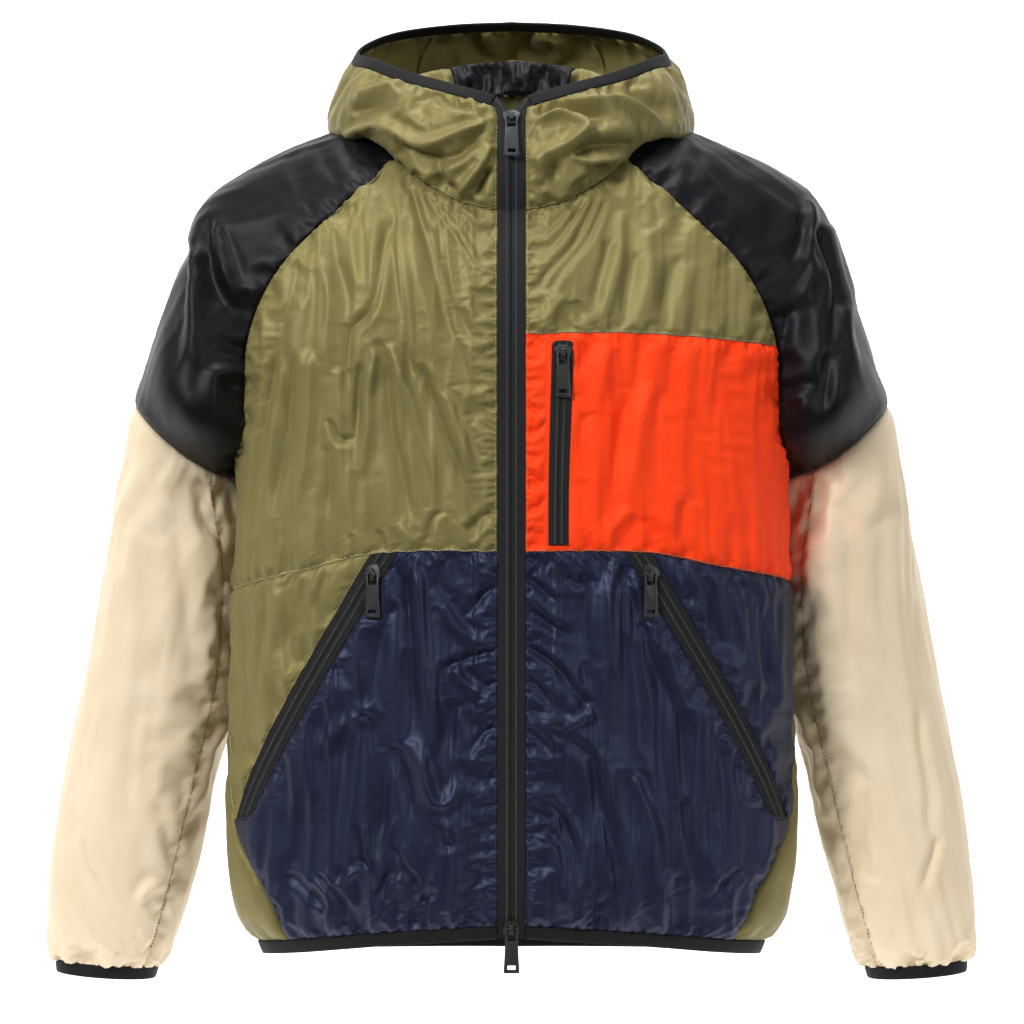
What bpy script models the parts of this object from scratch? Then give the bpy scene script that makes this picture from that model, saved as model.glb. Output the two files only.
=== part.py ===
"""A hooded windbreaker jacket, filled out as it is when worn, with nobody inside it.

Lengths are in millimetres and become metres when a mesh is made. +X is the wearer's left, -Y the
front, +Z up. The origin is in the middle of the neck, level with the shoulders that carry the jacket.

A seam on the body is given by u, the distance round from the centre front measured at the waist, and
by its height. A positive u is on the wearer's left. Side +1 is the wearer's left, -1 the right.
"""

import math

import bmesh
import bpy
import numpy as np
from mathutils import Matrix, Vector

MM = 0.001
CLOTH = 1.1
BINDING = 2.2
TAPE = 1.2
HALF_SEAM = 0.25
BINDING_WIDTH = 11.0
BINDING_GAP = 0.6
FOLD_GAP = 1.5
UNDERARM_GAP = 2.4
ZIP_EDGE = 11.6
ZIP_CENTRE_GAP = 0.2
POCKET_TAPE_HALF = 11.7

TORSO = (
    # height, half_width, side_depth, front, back, squareness
    (-690, 205, -20, 90, 124, 2.4),
    (-671, 212, -21, 95, 128, 2.4),
    (-648, 224, -23, 100, 134, 2.4),
    (-614, 233, -25, 104, 139, 2.4),
    (-546, 236, -25, 105, 138, 2.4),
    (-467, 236, -25, 106, 134, 2.4),
    (-372, 233, -25, 106, 136, 2.4),
    (-281, 231, -24, 107, 142, 2.4),
    (-220, 236, -18, 112, 140, 2.4),
    (-160, 241, -12, 117, 134, 2.4),
    (-95, 236, -4, 113, 120, 2.3),
    (-60, 225, 0, 103, 112, 2.25),
    (-46, 214, 0, 97, 108, 2.2),
    (-36, 207, 0, 90, 106, 2.2),
    (-22, 195, 0, 76, 103, 2.2),
    (-10, 184, 0, 56, 100, 2.2),
    (20, 142, 0, 36, 92, 2.1),
    (45, 108, 0, 25, 82, 2.1),
    (60, 92, 0, 20, 76, 2.1),
)
WAIST_RING = (235, 106, 137, 2.4)

HEM = (
    # u, height of the cloth's lower edge
    (0, -646),
    (131, -655),
    (202, -662),
    (285, -669),
    (430, -676),
    (592, -678),
)
SIDE_SEAM = (
    # height, u
    (-671, 203),
    (-620, 217),
    (-590, 236),
    (-566, 256),
    (-540, 268),
    (-467, 288),
    (-372, 301),
    (-281, 310),
)
UNDERARM = (310, -281)
WAIST_SEAM = {
    # u, height
    1: ((0, -340.5), (83, -340), (117, -341.5), (167, -351), (256, -364), (310, -370)),
    -1: ((0, -340.5), (83, -340), (117, -342.5), (172, -355), (261, -372), (310, -378)),
}
CHEST_SEAM = ((0, -162.5), (92, -161.5), (154, -165), (222, -170))
NECK_FRONT = ((11.6, -60), (41, -54), (60, -46), (84, -36), (117, -22), (153, -11))
NECK_BACK = ((62, 48), (40, 51), (0, 52))

ARMHOLE = (
    # front_u, front_height, ridge_x, ridge_y, ridge_z, back_x, back_height
    (153, -11, 94, -4, 34, 62, 48),
    (141, -26, 125, -2, 22, 92, 28),
    (147, -41, 155, 0, 11, 118, 8),
    (161, -67, 190, 3, -3, 147, -20),
    (184, -95, 226, 5, -21, 175, -55),
    (206, -132, 259, 7, -45, 198, -100),
    (222, -170, 282, 8, -83, 212, -142),
    (232, -210, 297, 8, -126, 221, -190),
    (247, -250, 309, 8, -171, 226, -238),
)
ARMHOLE_RIDGE_END = (319, 8, -218)
SLEEVE = (
    # inner_x, inner_z, outer_x, outer_z, depth, half_depth
    (229.5, -281, 319, -218, 0, 58),
    (236, -332, 334, -285, 14, 61),
    (232, -383, 345, -345, 25, 63),
    (234, -435, 355.5, -402, 31, 63),
    (241, -478, 366, -459, 33, 61),
    (252, -523, 377, -512, 33, 60),
    (264.6, -576, 386, -565, 31, 59),
    (278, -628, 392, -616, 28, 56),
    (291, -668, 393, -659, 26, 49),
    (300, -687, 391, -681, 25, 42),
    (303, -695, 389.3, -689, 25, 38),
)
CUFF_END = (306, -706, 388.4, -700, 25, 38)

HOOD = (
    # turn, then radius and height of: stand, fold, lining, drop, fall, swell, rim
    (7, 106, -48, 107, -34, 106, -20, 103, -5, 98, 9, 93, 22, 87, 36),
    (35, 115, -30, 119, -17, 121, -4, 119, 9, 113, 22, 104, 36, 94, 49),
    (60, 112, -6, 121, -2, 128, 6, 130, 18, 127, 32, 119, 48, 106, 62),
    (75, 107, 30, 120, 33, 133, 30, 141, 31, 139, 43, 131, 59, 118, 73),
    (90, 104, 46, 120, 46, 138, 27, 149, 28, 147, 42, 140, 62, 129, 81),
    (130, 92, 62, 100, 72, 118, 60, 140, 38, 160, 40, 152, 85, 127, 110),
    (160, 84, 68, 94, 82, 112, 50, 130, -30, 172, -25, 168, 80, 122, 121),
    (180, 81, 70, 92, 85, 112, 30, 127, -66, 180, -46, 172, 80, 118, 123),
)
HOOD_SEAM_TURN = 150
NECK_GAP_TURNS = (40, 65)
NECK_GAPS = (0.6, 2.7)
FLARE_START = 16
FLARE_REACH = 12

CHEST_ZIP_COLUMNS = (30.0, 46.5)
CHEST_ZIP_MARGIN = 5.5
PULL_LENGTH = 37.0
PULL_TOP_WIDTH = 10.4
PULL_END_WIDTH = 13.0
PULL_THICKNESS = 1.4
CROSSBAR = 1.4
PULL_WINDOW = (7.0, 9.0)
PULL_SLOT = (6.6, 3.4)
BRIDGE_WIDTH = 3.4
PLATE = (0.9, 2.6)
HINGE_REACH = 3.65
TOP_SLIDER = 17.0
TOP_SLIDER_LIFT = 0.7
BOTTOM_SLIDER = -648.0
CHEST_SLIDER = -178.0
POCKET_SLIDER = -358.0
POCKET_SLANT = 31.4

COLOURS = {
    # red, green, blue, roughness
    "olive_nylon": (0.215, 0.190, 0.080, 0.42),
    "navy_nylon": (0.020, 0.026, 0.062, 0.42),
    "orange_nylon": (0.870, 0.065, 0.012, 0.45),
    "black_nylon": (0.010, 0.010, 0.012, 0.38),
    "cream_nylon": (0.640, 0.520, 0.370, 0.50),
    "black_elastic": (0.012, 0.012, 0.014, 0.75),
    "black_zip_tape": (0.014, 0.014, 0.015, 0.70),
    "black_zip_metal": (0.018, 0.018, 0.019, 0.45),
}


def clear_scene():
    for obj in list(bpy.data.objects):
        bpy.data.objects.remove(obj, do_unlink=True)


def material(name):
    """A Principled material in the piece's colour."""
    found = bpy.data.materials.get(name)
    if found:
        return found
    made = bpy.data.materials.new(name)
    made.use_nodes = True
    red, green, blue, roughness = COLOURS[name]
    shader = made.node_tree.nodes["Principled BSDF"]
    shader.inputs["Base Color"].default_value = (red, green, blue, 1)
    shader.inputs["Roughness"].default_value = roughness
    shader.inputs["Metallic"].default_value = 0
    return made


def smooth(rows, at):
    """Columns of a table at any value of its first column, on a smooth curve through its rows."""
    table = np.array(rows, float)
    knots, values = table[:, 0], table[:, 1:]
    at = np.clip(np.asarray(at, float), knots[0], knots[-1])
    step = np.diff(knots)[:, None]
    rise = np.diff(values, axis=0) / step
    inner = (step[1:] * rise[:-1] + step[:-1] * rise[1:]) / (step[:-1] + step[1:])
    slope = np.vstack([rise[:1], inner, rise[-1:]])
    low = np.clip(np.searchsorted(knots, at, side="right") - 1, 0, len(knots) - 2)
    width = (knots[low + 1] - knots[low])[..., None]
    t = (at - knots[low])[..., None] / width
    start = values[low] * (1 + 2 * t) * (1 - t) ** 2 + slope[low] * width * t * (1 - t) ** 2
    end = values[low + 1] * t * t * (3 - 2 * t) + slope[low + 1] * width * t * t * (t - 1)
    return start + end


def numbered(rows):
    return [(index, *row) for index, row in enumerate(rows)]


def ring_radius(angle, half_width, front, back, squareness):
    """Distance from a ring's middle to its edge: a squared-off oval, flatter in front than behind."""
    reach = np.where(np.cos(angle) > 0, front, back)
    across_part = np.abs(np.sin(angle) / half_width) ** squareness
    along_part = np.abs(np.cos(angle) / reach) ** squareness
    return (across_part + along_part) ** (-1 / squareness)


RING_ANGLES = np.linspace(0, math.pi, 1441)
RING_POINTS = ring_radius(RING_ANGLES, *WAIST_RING)[:, None] * np.stack(
    [np.sin(RING_ANGLES), np.cos(RING_ANGLES)], 1
)
RING_ARC = np.concatenate([[0], np.cumsum(np.linalg.norm(np.diff(RING_POINTS, axis=0), axis=1))])
HALF_GIRTH = RING_ARC[-1]


def torso(u, z):
    """The point at distance u round the body and height z. Past the centre back u runs on."""
    u, z = np.broadcast_arrays(np.asarray(u, float), np.asarray(z, float))
    wrapped = (u + HALF_GIRTH) % (2 * HALF_GIRTH) - HALF_GIRTH
    angle = np.interp(np.abs(wrapped), RING_ARC, RING_ANGLES) * np.sign(wrapped)
    half_width, depth, front, back, squareness = np.moveaxis(smooth(TORSO, z), -1, 0)
    radius = ring_radius(angle, half_width, front, back, squareness)
    return np.stack([radius * np.sin(angle), depth - radius * np.cos(angle), z], -1)


def u_behind(x, z):
    """u of the point at distance x from the middle, on the back."""
    half_width, _, _, back, squareness = smooth(TORSO, z)
    reach = back * (1 - (x / half_width) ** squareness) ** (1 / squareness)
    return float(np.interp(math.atan2(x, -reach), RING_ANGLES, RING_ARC))


def even(points, count):
    """The polyline resampled to count points an equal distance apart."""
    length = np.concatenate([[0], np.cumsum(np.linalg.norm(np.diff(points, axis=0), axis=1))])
    at = np.linspace(0, length[-1], count)
    return np.stack([np.interp(at, length, column) for column in points.T], 1)


def patch(left, right, bottom, top):
    """A grid between four sides that meet at their corners (Coons): left and right run upwards."""
    s = np.linspace(0, 1, len(bottom))[None, :, None]
    t = np.linspace(0, 1, len(left))[:, None, None]
    sides = (1 - s) * left[:, None] + s * right[:, None]
    ends = (1 - t) * bottom[None] + t * top[None]
    low = (1 - s) * bottom[0] + s * bottom[-1]
    high = (1 - s) * top[0] + s * top[-1]
    return sides + ends - ((1 - t) * low + t * high)


def inset(points, edges="lrbt", gap=HALF_SEAM):
    """Moves the named edges of a grid of points in from the seam, square to each edge."""
    moved = points.copy()
    views = {
        "l": (moved[:, 0], moved[:, 1]),
        "r": (moved[:, -1], moved[:, -2]),
        "b": (moved[0], moved[1]),
        "t": (moved[-1], moved[-2]),
    }
    for name in edges:
        edge, inner = views[name]
        along = np.gradient(edge, axis=0)
        along /= np.linalg.norm(along, axis=1, keepdims=True)
        inward = inner - edge
        inward = inward - (inward * along).sum(1, keepdims=True) * along
        inward /= np.linalg.norm(inward, axis=1, keepdims=True)
        edge += gap * inward
    return moved


def cloth(name, points, finish, thickness=CLOTH, closed=False, window=None):
    """A wall of the given thickness on a grid of points, facing out, with the window's cells left out."""
    rows, columns = points.shape[:2]
    index = np.arange(rows * columns).reshape(rows, columns)
    if closed:
        index = np.hstack([index, index[:, :1]])
    cells = np.stack([index[:-1, :-1], index[:-1, 1:], index[1:, 1:], index[1:, :-1]], -1)
    keep = np.ones(cells.shape[:2], bool)
    if window:
        first_row, last_row, first_column, last_column = window
        keep[first_row:last_row, first_column:last_column] = False
    mesh = bpy.data.meshes.new(name)
    mesh.from_pydata((points.reshape(-1, 3) * MM).tolist(), [], cells[keep].tolist())
    mesh.validate()
    mesh.materials.append(material(finish))
    obj = bpy.data.objects.new(name, mesh)
    bpy.context.collection.objects.link(obj)
    clean = bmesh.new()
    clean.from_mesh(mesh)
    bmesh.ops.delete(clean, geom=[v for v in clean.verts if not v.link_faces], context="VERTS")
    clean.to_mesh(mesh)
    clean.free()
    mesh.shade_smooth()
    wall = obj.modifiers.new("wall", "SOLIDIFY")
    wall.thickness = thickness * MM
    wall.offset = 0
    return obj


def on_body(grid, side, along_zip=False):
    """A grid of (u, height) on one side of the body as points, with its columns running to the left."""
    points = torso(side * grid[..., 0], grid[..., 1])
    if along_zip:
        points[:, 0, 0] = side * ZIP_EDGE
    return points if side > 0 else points[:, ::-1]


def seam(rows, stations):
    """Points (u, height) of a seam given as height against u, at each u of the stations."""
    stations = np.asarray(stations, float)
    return np.stack([stations, smooth(rows, stations)[:, 0]], 1)


def side_seam(heights):
    heights = np.asarray(heights, float)
    return np.stack([smooth(SIDE_SEAM, heights)[:, 0], heights], 1)


def pocket_line(heights, offset):
    """u along the slanting hand pocket's centre line, moved sideways by the offset."""
    heights = np.asarray(heights, float)
    return np.stack([113.2 - (heights + 357.1) * 125.1 / 204.7 + offset, heights], 1)


ARMHOLE_STEPS = 9
SIDE_STEPS = 3
POCKET_STEPS = 5
LOWER_STEPS = 3
CHEST_STEP = 3
POCKET_END = (-560, -563.5, -566)
POCKET_TOP = -342.0
WAIST_SIDE = 301
HEM_SIDE = 203


def armhole_rows():
    """Front seam, ridge and back seam of the sleeve head, row by row from the neck to the underarm."""
    steps = np.arange(ARMHOLE_STEPS + 1)
    ends = (*UNDERARM, *ARMHOLE_RIDGE_END)
    front_and_ridge = [row[:5] for row in ARMHOLE] + [ends]
    rows = smooth(numbered(front_and_ridge), steps)
    back = [(u_behind(row[5], row[6]), row[6]) for row in ARMHOLE] + [UNDERARM]
    return rows[:, :2], rows[:, 2:], smooth(numbered(back), steps)


def sleeve_row(front, front_pull, ridge, back, back_pull, full, count):
    """One row round the arm: two curves that leave each seam along its pull and cross the ridge."""
    t = np.linspace(0, 1, 41)[:, None]

    def half(start, pull):
        reach = full * np.linalg.norm(ridge - start)
        across = np.array([0, np.sign(start[1] - ridge[1] + 1e-6 * pull[1]), 0])
        across = across if abs(start[1] - ridge[1]) > 12 else np.array([0, np.sign(pull[1]), 0])
        first, second = start + reach * pull, ridge + reach * across
        return (
            (1 - t) ** 3 * start
            + 3 * t * (1 - t) ** 2 * first
            + 3 * t * t * (1 - t) * second
            + t**3 * ridge
        )

    first_half, second_half = half(front, front_pull), half(back, back_pull)
    return np.vstack([even(first_half, count + 1)[:-1], even(second_half, count + 1)[::-1]])


def seam_pull(seam_points, towards):
    """The direction that leaves a seam of the body square to it, in the body's surface."""
    step = 1.0
    points = torso(seam_points[:, 0], seam_points[:, 1])
    across = torso(seam_points[:, 0] + step, seam_points[:, 1]) - points
    up = torso(seam_points[:, 0], seam_points[:, 1] + step) - points
    normal = np.cross(across, up)
    pull = np.cross(np.gradient(points, axis=0), normal)
    pull *= np.sign((pull * (towards - points)).sum(1, keepdims=True))
    return pull / np.linalg.norm(pull, axis=1, keepdims=True)


def sleeve_head(count):
    """Points of the left sleeve's upper piece: rows from the neck to the arm seam."""
    front, ridge, back = armhole_rows()
    front_points, back_points = torso(*front.T), torso(*back.T)
    blend = np.clip((np.arange(len(ridge)) - 3) / 5, 0, 1)[:, None]
    blend = blend * blend * (3 - 2 * blend)
    front_pull = (1 - blend) * seam_pull(front, ridge) + blend * np.array([0.62, -0.77, 0.1])
    back_pull = (1 - blend) * seam_pull(back, ridge) + blend * np.array([0.62, 0.77, 0.1])
    front_pull /= np.linalg.norm(front_pull, axis=1, keepdims=True)
    back_pull /= np.linalg.norm(back_pull, axis=1, keepdims=True)
    full = 0.36 + 0.22 * blend[:, 0]
    rows = zip(front_points, front_pull, ridge, back_points, back_pull, full)
    return np.stack([sleeve_row(*row, count) for row in rows])


def sleeve_rings(rows, count):
    """Closed rings round the arm, each an oval between its inner and its outer point."""
    turn = np.linspace(0, 2 * math.pi, 2 * count, endpoint=False)
    inner_x, inner_z, outer_x, outer_z, depth, half_depth = np.array(rows, float).T[:, :, None]
    along = (1 - np.cos(turn)) / 2
    squared = np.sign(np.sin(turn)) * np.abs(np.sin(turn)) ** 0.9
    return np.stack(
        [
            inner_x + (outer_x - inner_x) * along,
            depth - half_depth * squared,
            inner_z + (outer_z - inner_z) * along,
        ],
        -1,
    )


def mirrored(points):
    """The same grid on the wearer's right, with its columns turned round so that it faces out."""
    return (points * (-1, 1, 1))[:, ::-1]


def neck_ring():
    """The neck seam on the wearer's left, from the zip round to the centre back, as points."""
    front = torso(*np.array(NECK_FRONT).T)
    head = sleeve_head(8)[0]
    back = torso([u_behind(x, z) for x, z in NECK_BACK], [z for _, z in NECK_BACK])
    return np.vstack([front, head[1:-1], back])


def hood_columns(turns, count):
    """Points of the hood from the neck seam to the rim's upper edge, a column for each turn."""
    ring = neck_ring()
    ring_turn = np.degrees(np.arctan2(np.abs(ring[:, 0]), -ring[:, 1]))
    shape = smooth(HOOD, turns)
    columns = []
    for turn, row in zip(turns, shape):
        neck = [np.interp(turn, ring_turn, ring[:, axis]) for axis in range(3)]
        radius = np.concatenate([[math.hypot(neck[0], neck[1])], row[0::2]])
        gap = np.interp(turn, NECK_GAP_TURNS, NECK_GAPS)
        height = np.concatenate([[neck[2] + gap], row[1::2]])
        profile = smooth(numbered(np.stack([radius, height], 1)), np.linspace(0, 7, 141))
        columns.append(even(profile, count))
    profile = np.stack(columns, 1)
    angle = np.radians(turns)[None]
    x, y, z = profile[..., 0] * np.sin(angle), -profile[..., 0] * np.cos(angle), profile[..., 1]
    return np.stack([x, y, z], -1)


def zip_flare(z):
    """How far the opened top of the zip has spread to each side at height z."""
    return FLARE_REACH * np.clip((np.asarray(z, float) - FLARE_START) / 20, 0, 1) ** 1.6


def cut_lengthwise(points, low, high, count):
    """Rows of a grid between two distances along its columns; a negative one is from the far end."""
    columns = []
    for column in np.moveaxis(points, 1, 0):
        length = np.concatenate([[0], np.cumsum(np.linalg.norm(np.diff(column, axis=0), axis=1))])
        first = low if low >= 0 else length[-1] + low
        last = high if high > 0 else length[-1] + high
        at = np.linspace(first, last, count)
        columns.append(np.stack([np.interp(at, length, axis) for axis in column.T], 1))
    return np.stack(columns, 1)


HOOD_ROWS = 61
HOOD_PANEL_ROWS = 15
HOOD_SIDE_COLUMNS = 14
RIM_ROWS = 3
FACING_TURN = 146
FACING_SPAN = (2, 26)
FACING_DEPTH = 3.6


def hood_side(count):
    """The left hood panel's full height, with its front edge on the zip."""
    points = hood_columns(np.linspace(7, HOOD_SEAM_TURN, count + 1), HOOD_ROWS)
    points[:, 0, 0] = ZIP_EDGE + zip_flare(points[:, 0, 2])
    return points


def make_fronts(side):
    """The front panels of one side and its pocket zip; side -1 has no chest seam."""
    name = "left" if side > 0 else "right"
    waist = WAIST_SEAM[side]
    pocket_in = float(pocket_line([POCKET_TOP], -POCKET_TAPE_HALF)[0, 0])
    pocket_out = float(pocket_line([POCKET_TOP], POCKET_TAPE_HALF)[0, 0])
    inner_stations = [ZIP_EDGE, *CHEST_ZIP_COLUMNS, 70, pocket_in]
    stations = [*inner_stations, *np.linspace(pocket_out, WAIST_SIDE, 5)]
    waist_line = seam(waist, stations)
    side_end = waist_line[-1, 1]

    front, _, _ = armhole_rows()
    armhole = front[::-1]
    upper_side = side_seam(np.linspace(side_end, UNDERARM[1], SIDE_STEPS + 1))
    edge = np.vstack([upper_side, armhole[1:]])
    if side > 0:
        turn = SIDE_STEPS + 1 + CHEST_STEP
        low_edge, high_edge = edge[:turn], edge[turn - 1 :]
        chest_outer = np.linspace(pocket_out, high_edge[0, 0], 5)
        chest_line = seam(CHEST_SEAM, [*inner_stations, *chest_outer])
        chest_line[-1] = high_edge[0]
        low, high = waist_line[0, 1], chest_line[0, 1]
        middle = np.linspace(low + CHEST_ZIP_MARGIN, high - CHEST_ZIP_MARGIN, turn - 2)
        zip_rows = np.array([low, *middle, high])
        zip_side = np.stack([np.full(turn, ZIP_EDGE), zip_rows], 1)
        chest = patch(zip_side, low_edge, waist_line, chest_line)
        chest[:, 1:3, 0] = CHEST_ZIP_COLUMNS
        window = (1, turn - 2, 1, 2)
        cloth("chest_panel_left", inset(on_body(chest, side, True)), "orange_nylon", window=window)
        opening = chest[1 : turn - 1, 1:3]
        tape = np.stack([opening[:, 0], opening.mean(1), opening[:, 1]], 1)
        cloth("chest_pocket_zip", inset(inset(on_body(tape, side))), "black_zip_tape", TAPE)
        bottom, edge, panel = chest_line, high_edge, "front_yoke_left"
    else:
        bottom, panel = waist_line, "front_chest_right"
    neck = np.array(NECK_FRONT, float)
    neck_step = np.linspace(0, len(neck) - 1, len(stations))
    neck_line = np.stack([np.interp(neck_step, np.arange(len(neck)), column) for column in neck.T], 1)
    neck_line[-1] = armhole[-1]
    heights = np.linspace(bottom[0, 1], neck_line[0, 1], len(edge))
    zip_side = np.stack([np.full(len(edge), ZIP_EDGE), heights], 1)
    upper = patch(zip_side, edge, bottom, neck_line)
    cloth(panel, inset(on_body(upper, side, True)), "olive_nylon")

    end_in, end_out, end_side = POCKET_END
    corner_in = pocket_line([end_in], -POCKET_TAPE_HALF)[0]
    corner_out = pocket_line([end_out], POCKET_TAPE_HALF)[0]
    corner_side = side_seam([end_side])[0]
    top_in, top_out = waist_line[4], waist_line[5]
    inner_edge = np.linspace(corner_in, top_in, POCKET_STEPS + 1)
    outer_edge = np.linspace(corner_out, top_out, POCKET_STEPS + 1)
    seam_edge = side_seam(np.linspace(end_side, side_end, POCKET_STEPS + 1))
    short_line = np.linspace(corner_out, corner_side, 5)
    facing_side = patch(outer_edge, seam_edge, short_line, waist_line[5:])
    cloth(
        f"pocket_side_{name}",
        inset(on_body(facing_side, side)),
        "navy_nylon" if side > 0 else "olive_nylon",
    )
    middle_edge = (inner_edge + outer_edge) / 2
    tape = np.stack([inner_edge, middle_edge, outer_edge], 1)
    cloth(f"pocket_zip_{name}", inset(on_body(tape, side)), "black_zip_tape", TAPE)

    hem_line = seam(HEM, np.linspace(ZIP_EDGE, HEM_SIDE, 5))
    low_side = side_seam(np.linspace(hem_line[-1, 1], end_side, LOWER_STEPS + 1))
    hem_line[-1] = low_side[0]
    outer = np.vstack([low_side, inner_edge])
    zip_side = np.stack(
        [np.full(len(outer), ZIP_EDGE), np.linspace(hem_line[0, 1], waist_line[0, 1], len(outer))], 1
    )
    lower = patch(zip_side, outer, hem_line, waist_line[:5])
    cloth(f"front_lower_{name}", inset(on_body(lower, side, True)), "navy_nylon")
    return low_side, seam_edge, upper_side


def make_back(left_edges, right_edges):
    """The back in one piece, round to both side seams and up to the back neck."""
    _, _, armhole = armhole_rows()

    def whole(edges):
        low, pocket, upper = edges
        return np.vstack([low, pocket[1:], upper[1:], armhole[::-1][1:]])

    columns = 19
    left, right = whole(left_edges), whole(right_edges)
    right = right * (-1, 1) + (2 * HALF_GIRTH, 0)
    hem_u = np.linspace(left[0, 0], right[0, 0], columns)
    hem_line = seam(HEM, np.minimum(hem_u, 2 * HALF_GIRTH - hem_u))
    hem_line[:, 0] = hem_u
    hem_line[0], hem_line[-1] = left[0], right[0]
    neck = np.array([(u_behind(x, z), z) for x, z in NECK_BACK])
    neck_u = np.linspace(left[-1, 0], right[-1, 0], columns)
    neck_z = np.interp(np.minimum(neck_u, 2 * HALF_GIRTH - neck_u), neck[:, 0], neck[:, 1])
    neck_line = np.stack([neck_u, neck_z], 1)
    grid = patch(left, right, hem_line, neck_line)
    cloth("back", inset(torso(grid[..., 0], grid[..., 1])), "olive_nylon")


def make_hem_binding():
    """The elastic binding round the hem, from one edge of the zip to the other."""
    u = np.linspace(ZIP_EDGE, 2 * HALF_GIRTH - ZIP_EDGE, 61)
    top = smooth(HEM, np.minimum(u, 2 * HALF_GIRTH - u))[:, 0]
    heights = np.stack([top - BINDING_WIDTH, top - BINDING_GAP])
    points = torso(np.broadcast_to(u, heights.shape), heights)
    points[:, 0, 0] = ZIP_EDGE
    points[:, -1, 0] = -ZIP_EDGE
    cloth("hem_binding", inset(points), "black_elastic", BINDING)


SLEEVE_COLUMNS = 8


def make_sleeves():
    """Both sleeves: the black head, the cream lower piece and the elastic binding of the cuff."""
    head = inset(inset(sleeve_head(SLEEVE_COLUMNS), "bt"), "lr", FOLD_GAP)
    rings = smooth(numbered(SLEEVE[1:]), np.linspace(0, len(SLEEVE) - 2, 11))
    lower = sleeve_rings(rings, SLEEVE_COLUMNS)
    seam_row = sleeve_head(SLEEVE_COLUMNS)[-1][:-1]
    lower = np.concatenate([seam_row[None], lower])
    along = lower[1] - lower[0]
    lower[0] += FOLD_GAP * along / np.linalg.norm(along, axis=1, keepdims=True)
    lower[0, 0, 0] += UNDERARM_GAP
    cuff = sleeve_rings([SLEEVE[-1], CUFF_END], SLEEVE_COLUMNS)
    along = cuff[1] - cuff[0]
    cuff[0] += BINDING_GAP * along / np.linalg.norm(along, axis=1, keepdims=True)
    for name, turn in (("left", lambda p: p), ("right", mirrored)):
        cloth(f"sleeve_upper_{name}", turn(head)[::-1], "black_nylon")
        cloth(f"sleeve_lower_{name}", turn(lower)[::-1], "cream_nylon", closed=True)
        cloth(f"cuff_binding_{name}", turn(cuff)[::-1], "black_elastic", BINDING, closed=True)


def make_hood():
    """The hood's two side panels, its centre panel and the elastic binding of its rim."""
    side = hood_side(HOOD_SIDE_COLUMNS)
    centre_half = hood_columns(np.linspace(HOOD_SEAM_TURN, 180, 4), HOOD_ROWS)
    centre = np.concatenate([centre_half, mirrored(centre_half)[:, 1:]], 1)
    panels = (("side_left", side), ("centre", centre), ("side_right", mirrored(side)))
    for name, points in panels:
        panel = cut_lengthwise(points, 0, -BINDING_WIDTH, HOOD_PANEL_ROWS)
        cloth(f"hood_{name}", inset(panel), "olive_nylon")
    whole = np.concatenate([side, centre[:, 1:-1], mirrored(side)], 1)
    rim = cut_lengthwise(whole, -BINDING_WIDTH, 0, RIM_ROWS)
    cloth("hood_binding", inset(rim), "black_elastic", BINDING)
    facing_half = hood_columns(np.linspace(FACING_TURN, 180, 5), HOOD_ROWS)
    facing = np.concatenate([facing_half, mirrored(facing_half)[:, 1:]], 1)
    facing = cut_lengthwise(facing, *FACING_SPAN, 4)
    inward = facing * (-1, -1, 0)
    facing = facing + FACING_DEPTH * inward / np.linalg.norm(inward, axis=2, keepdims=True)
    cloth("neck_facing", facing, "black_nylon")


def zip_path():
    """The edge of the front zip from the hem to the rim, on the wearer's left."""
    hem = float(smooth(HEM, 0)[0]) - BINDING_WIDTH
    neck = NECK_FRONT[0][1]
    body = torso(0, np.linspace(hem, neck, 22)) + (ZIP_EDGE, 0, 0)
    side = hood_side(2)
    collar = cut_lengthwise(side, 0, -BINDING_WIDTH, HOOD_PANEL_ROWS)[1:, 0]
    rim = cut_lengthwise(side, -BINDING_WIDTH, 0, RIM_ROWS)[1:, 0]
    return np.vstack([body, collar, rim])


def make_front_zip():
    """The two tapes of the front zip, side by side."""
    edge = zip_path()
    outer = edge - (2 * HALF_SEAM, 0, 0)
    inner = edge - (ZIP_EDGE - ZIP_CENTRE_GAP, 0, 0)
    tape = np.stack([inner, outer], 1)
    cloth("front_zip_tape_left", tape, "black_zip_tape", TAPE)
    cloth("front_zip_tape_right", mirrored(tape), "black_zip_tape", TAPE)


def frame_at(point, outward, up):
    """A frame at a point: X across, Z up along the zip and -Y out of the cloth."""
    out = Vector(outward).normalized()
    rise = Vector(up)
    rise = (rise - out * rise.dot(out)).normalized()
    across = (-out).cross(rise)
    turn = Matrix((across, -out, rise)).transposed().to_4x4()
    return Matrix.Translation(Vector(point) * MM) @ turn


def prism(name, outline, low, high, axis, finish):
    """An outline in two axes extruded along the third, axis, from low to high."""
    mesh = bpy.data.meshes.new(name)
    build = bmesh.new()

    def place(a, b, c):
        point = {"Y": (a, c, b), "X": (c, a, b)}[axis]
        return Vector(point) * MM

    bottom = [build.verts.new(place(a, b, low)) for a, b in outline]
    top = [build.verts.new(place(a, b, high)) for a, b in outline]
    build.faces.new(bottom)
    build.faces.new(top[::-1])
    count = len(outline)
    for index in range(count):
        after = (index + 1) % count
        build.faces.new((bottom[index], top[index], top[after], bottom[after]))
    bmesh.ops.recalc_face_normals(build, faces=build.faces)
    build.to_mesh(mesh)
    build.free()
    mesh.materials.append(material(finish))
    obj = bpy.data.objects.new(name, mesh)
    bpy.context.collection.objects.link(obj)
    return obj


def box_outline(width, low, high):
    return [(-width / 2, low), (width / 2, low), (width / 2, high), (-width / 2, high)]


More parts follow.
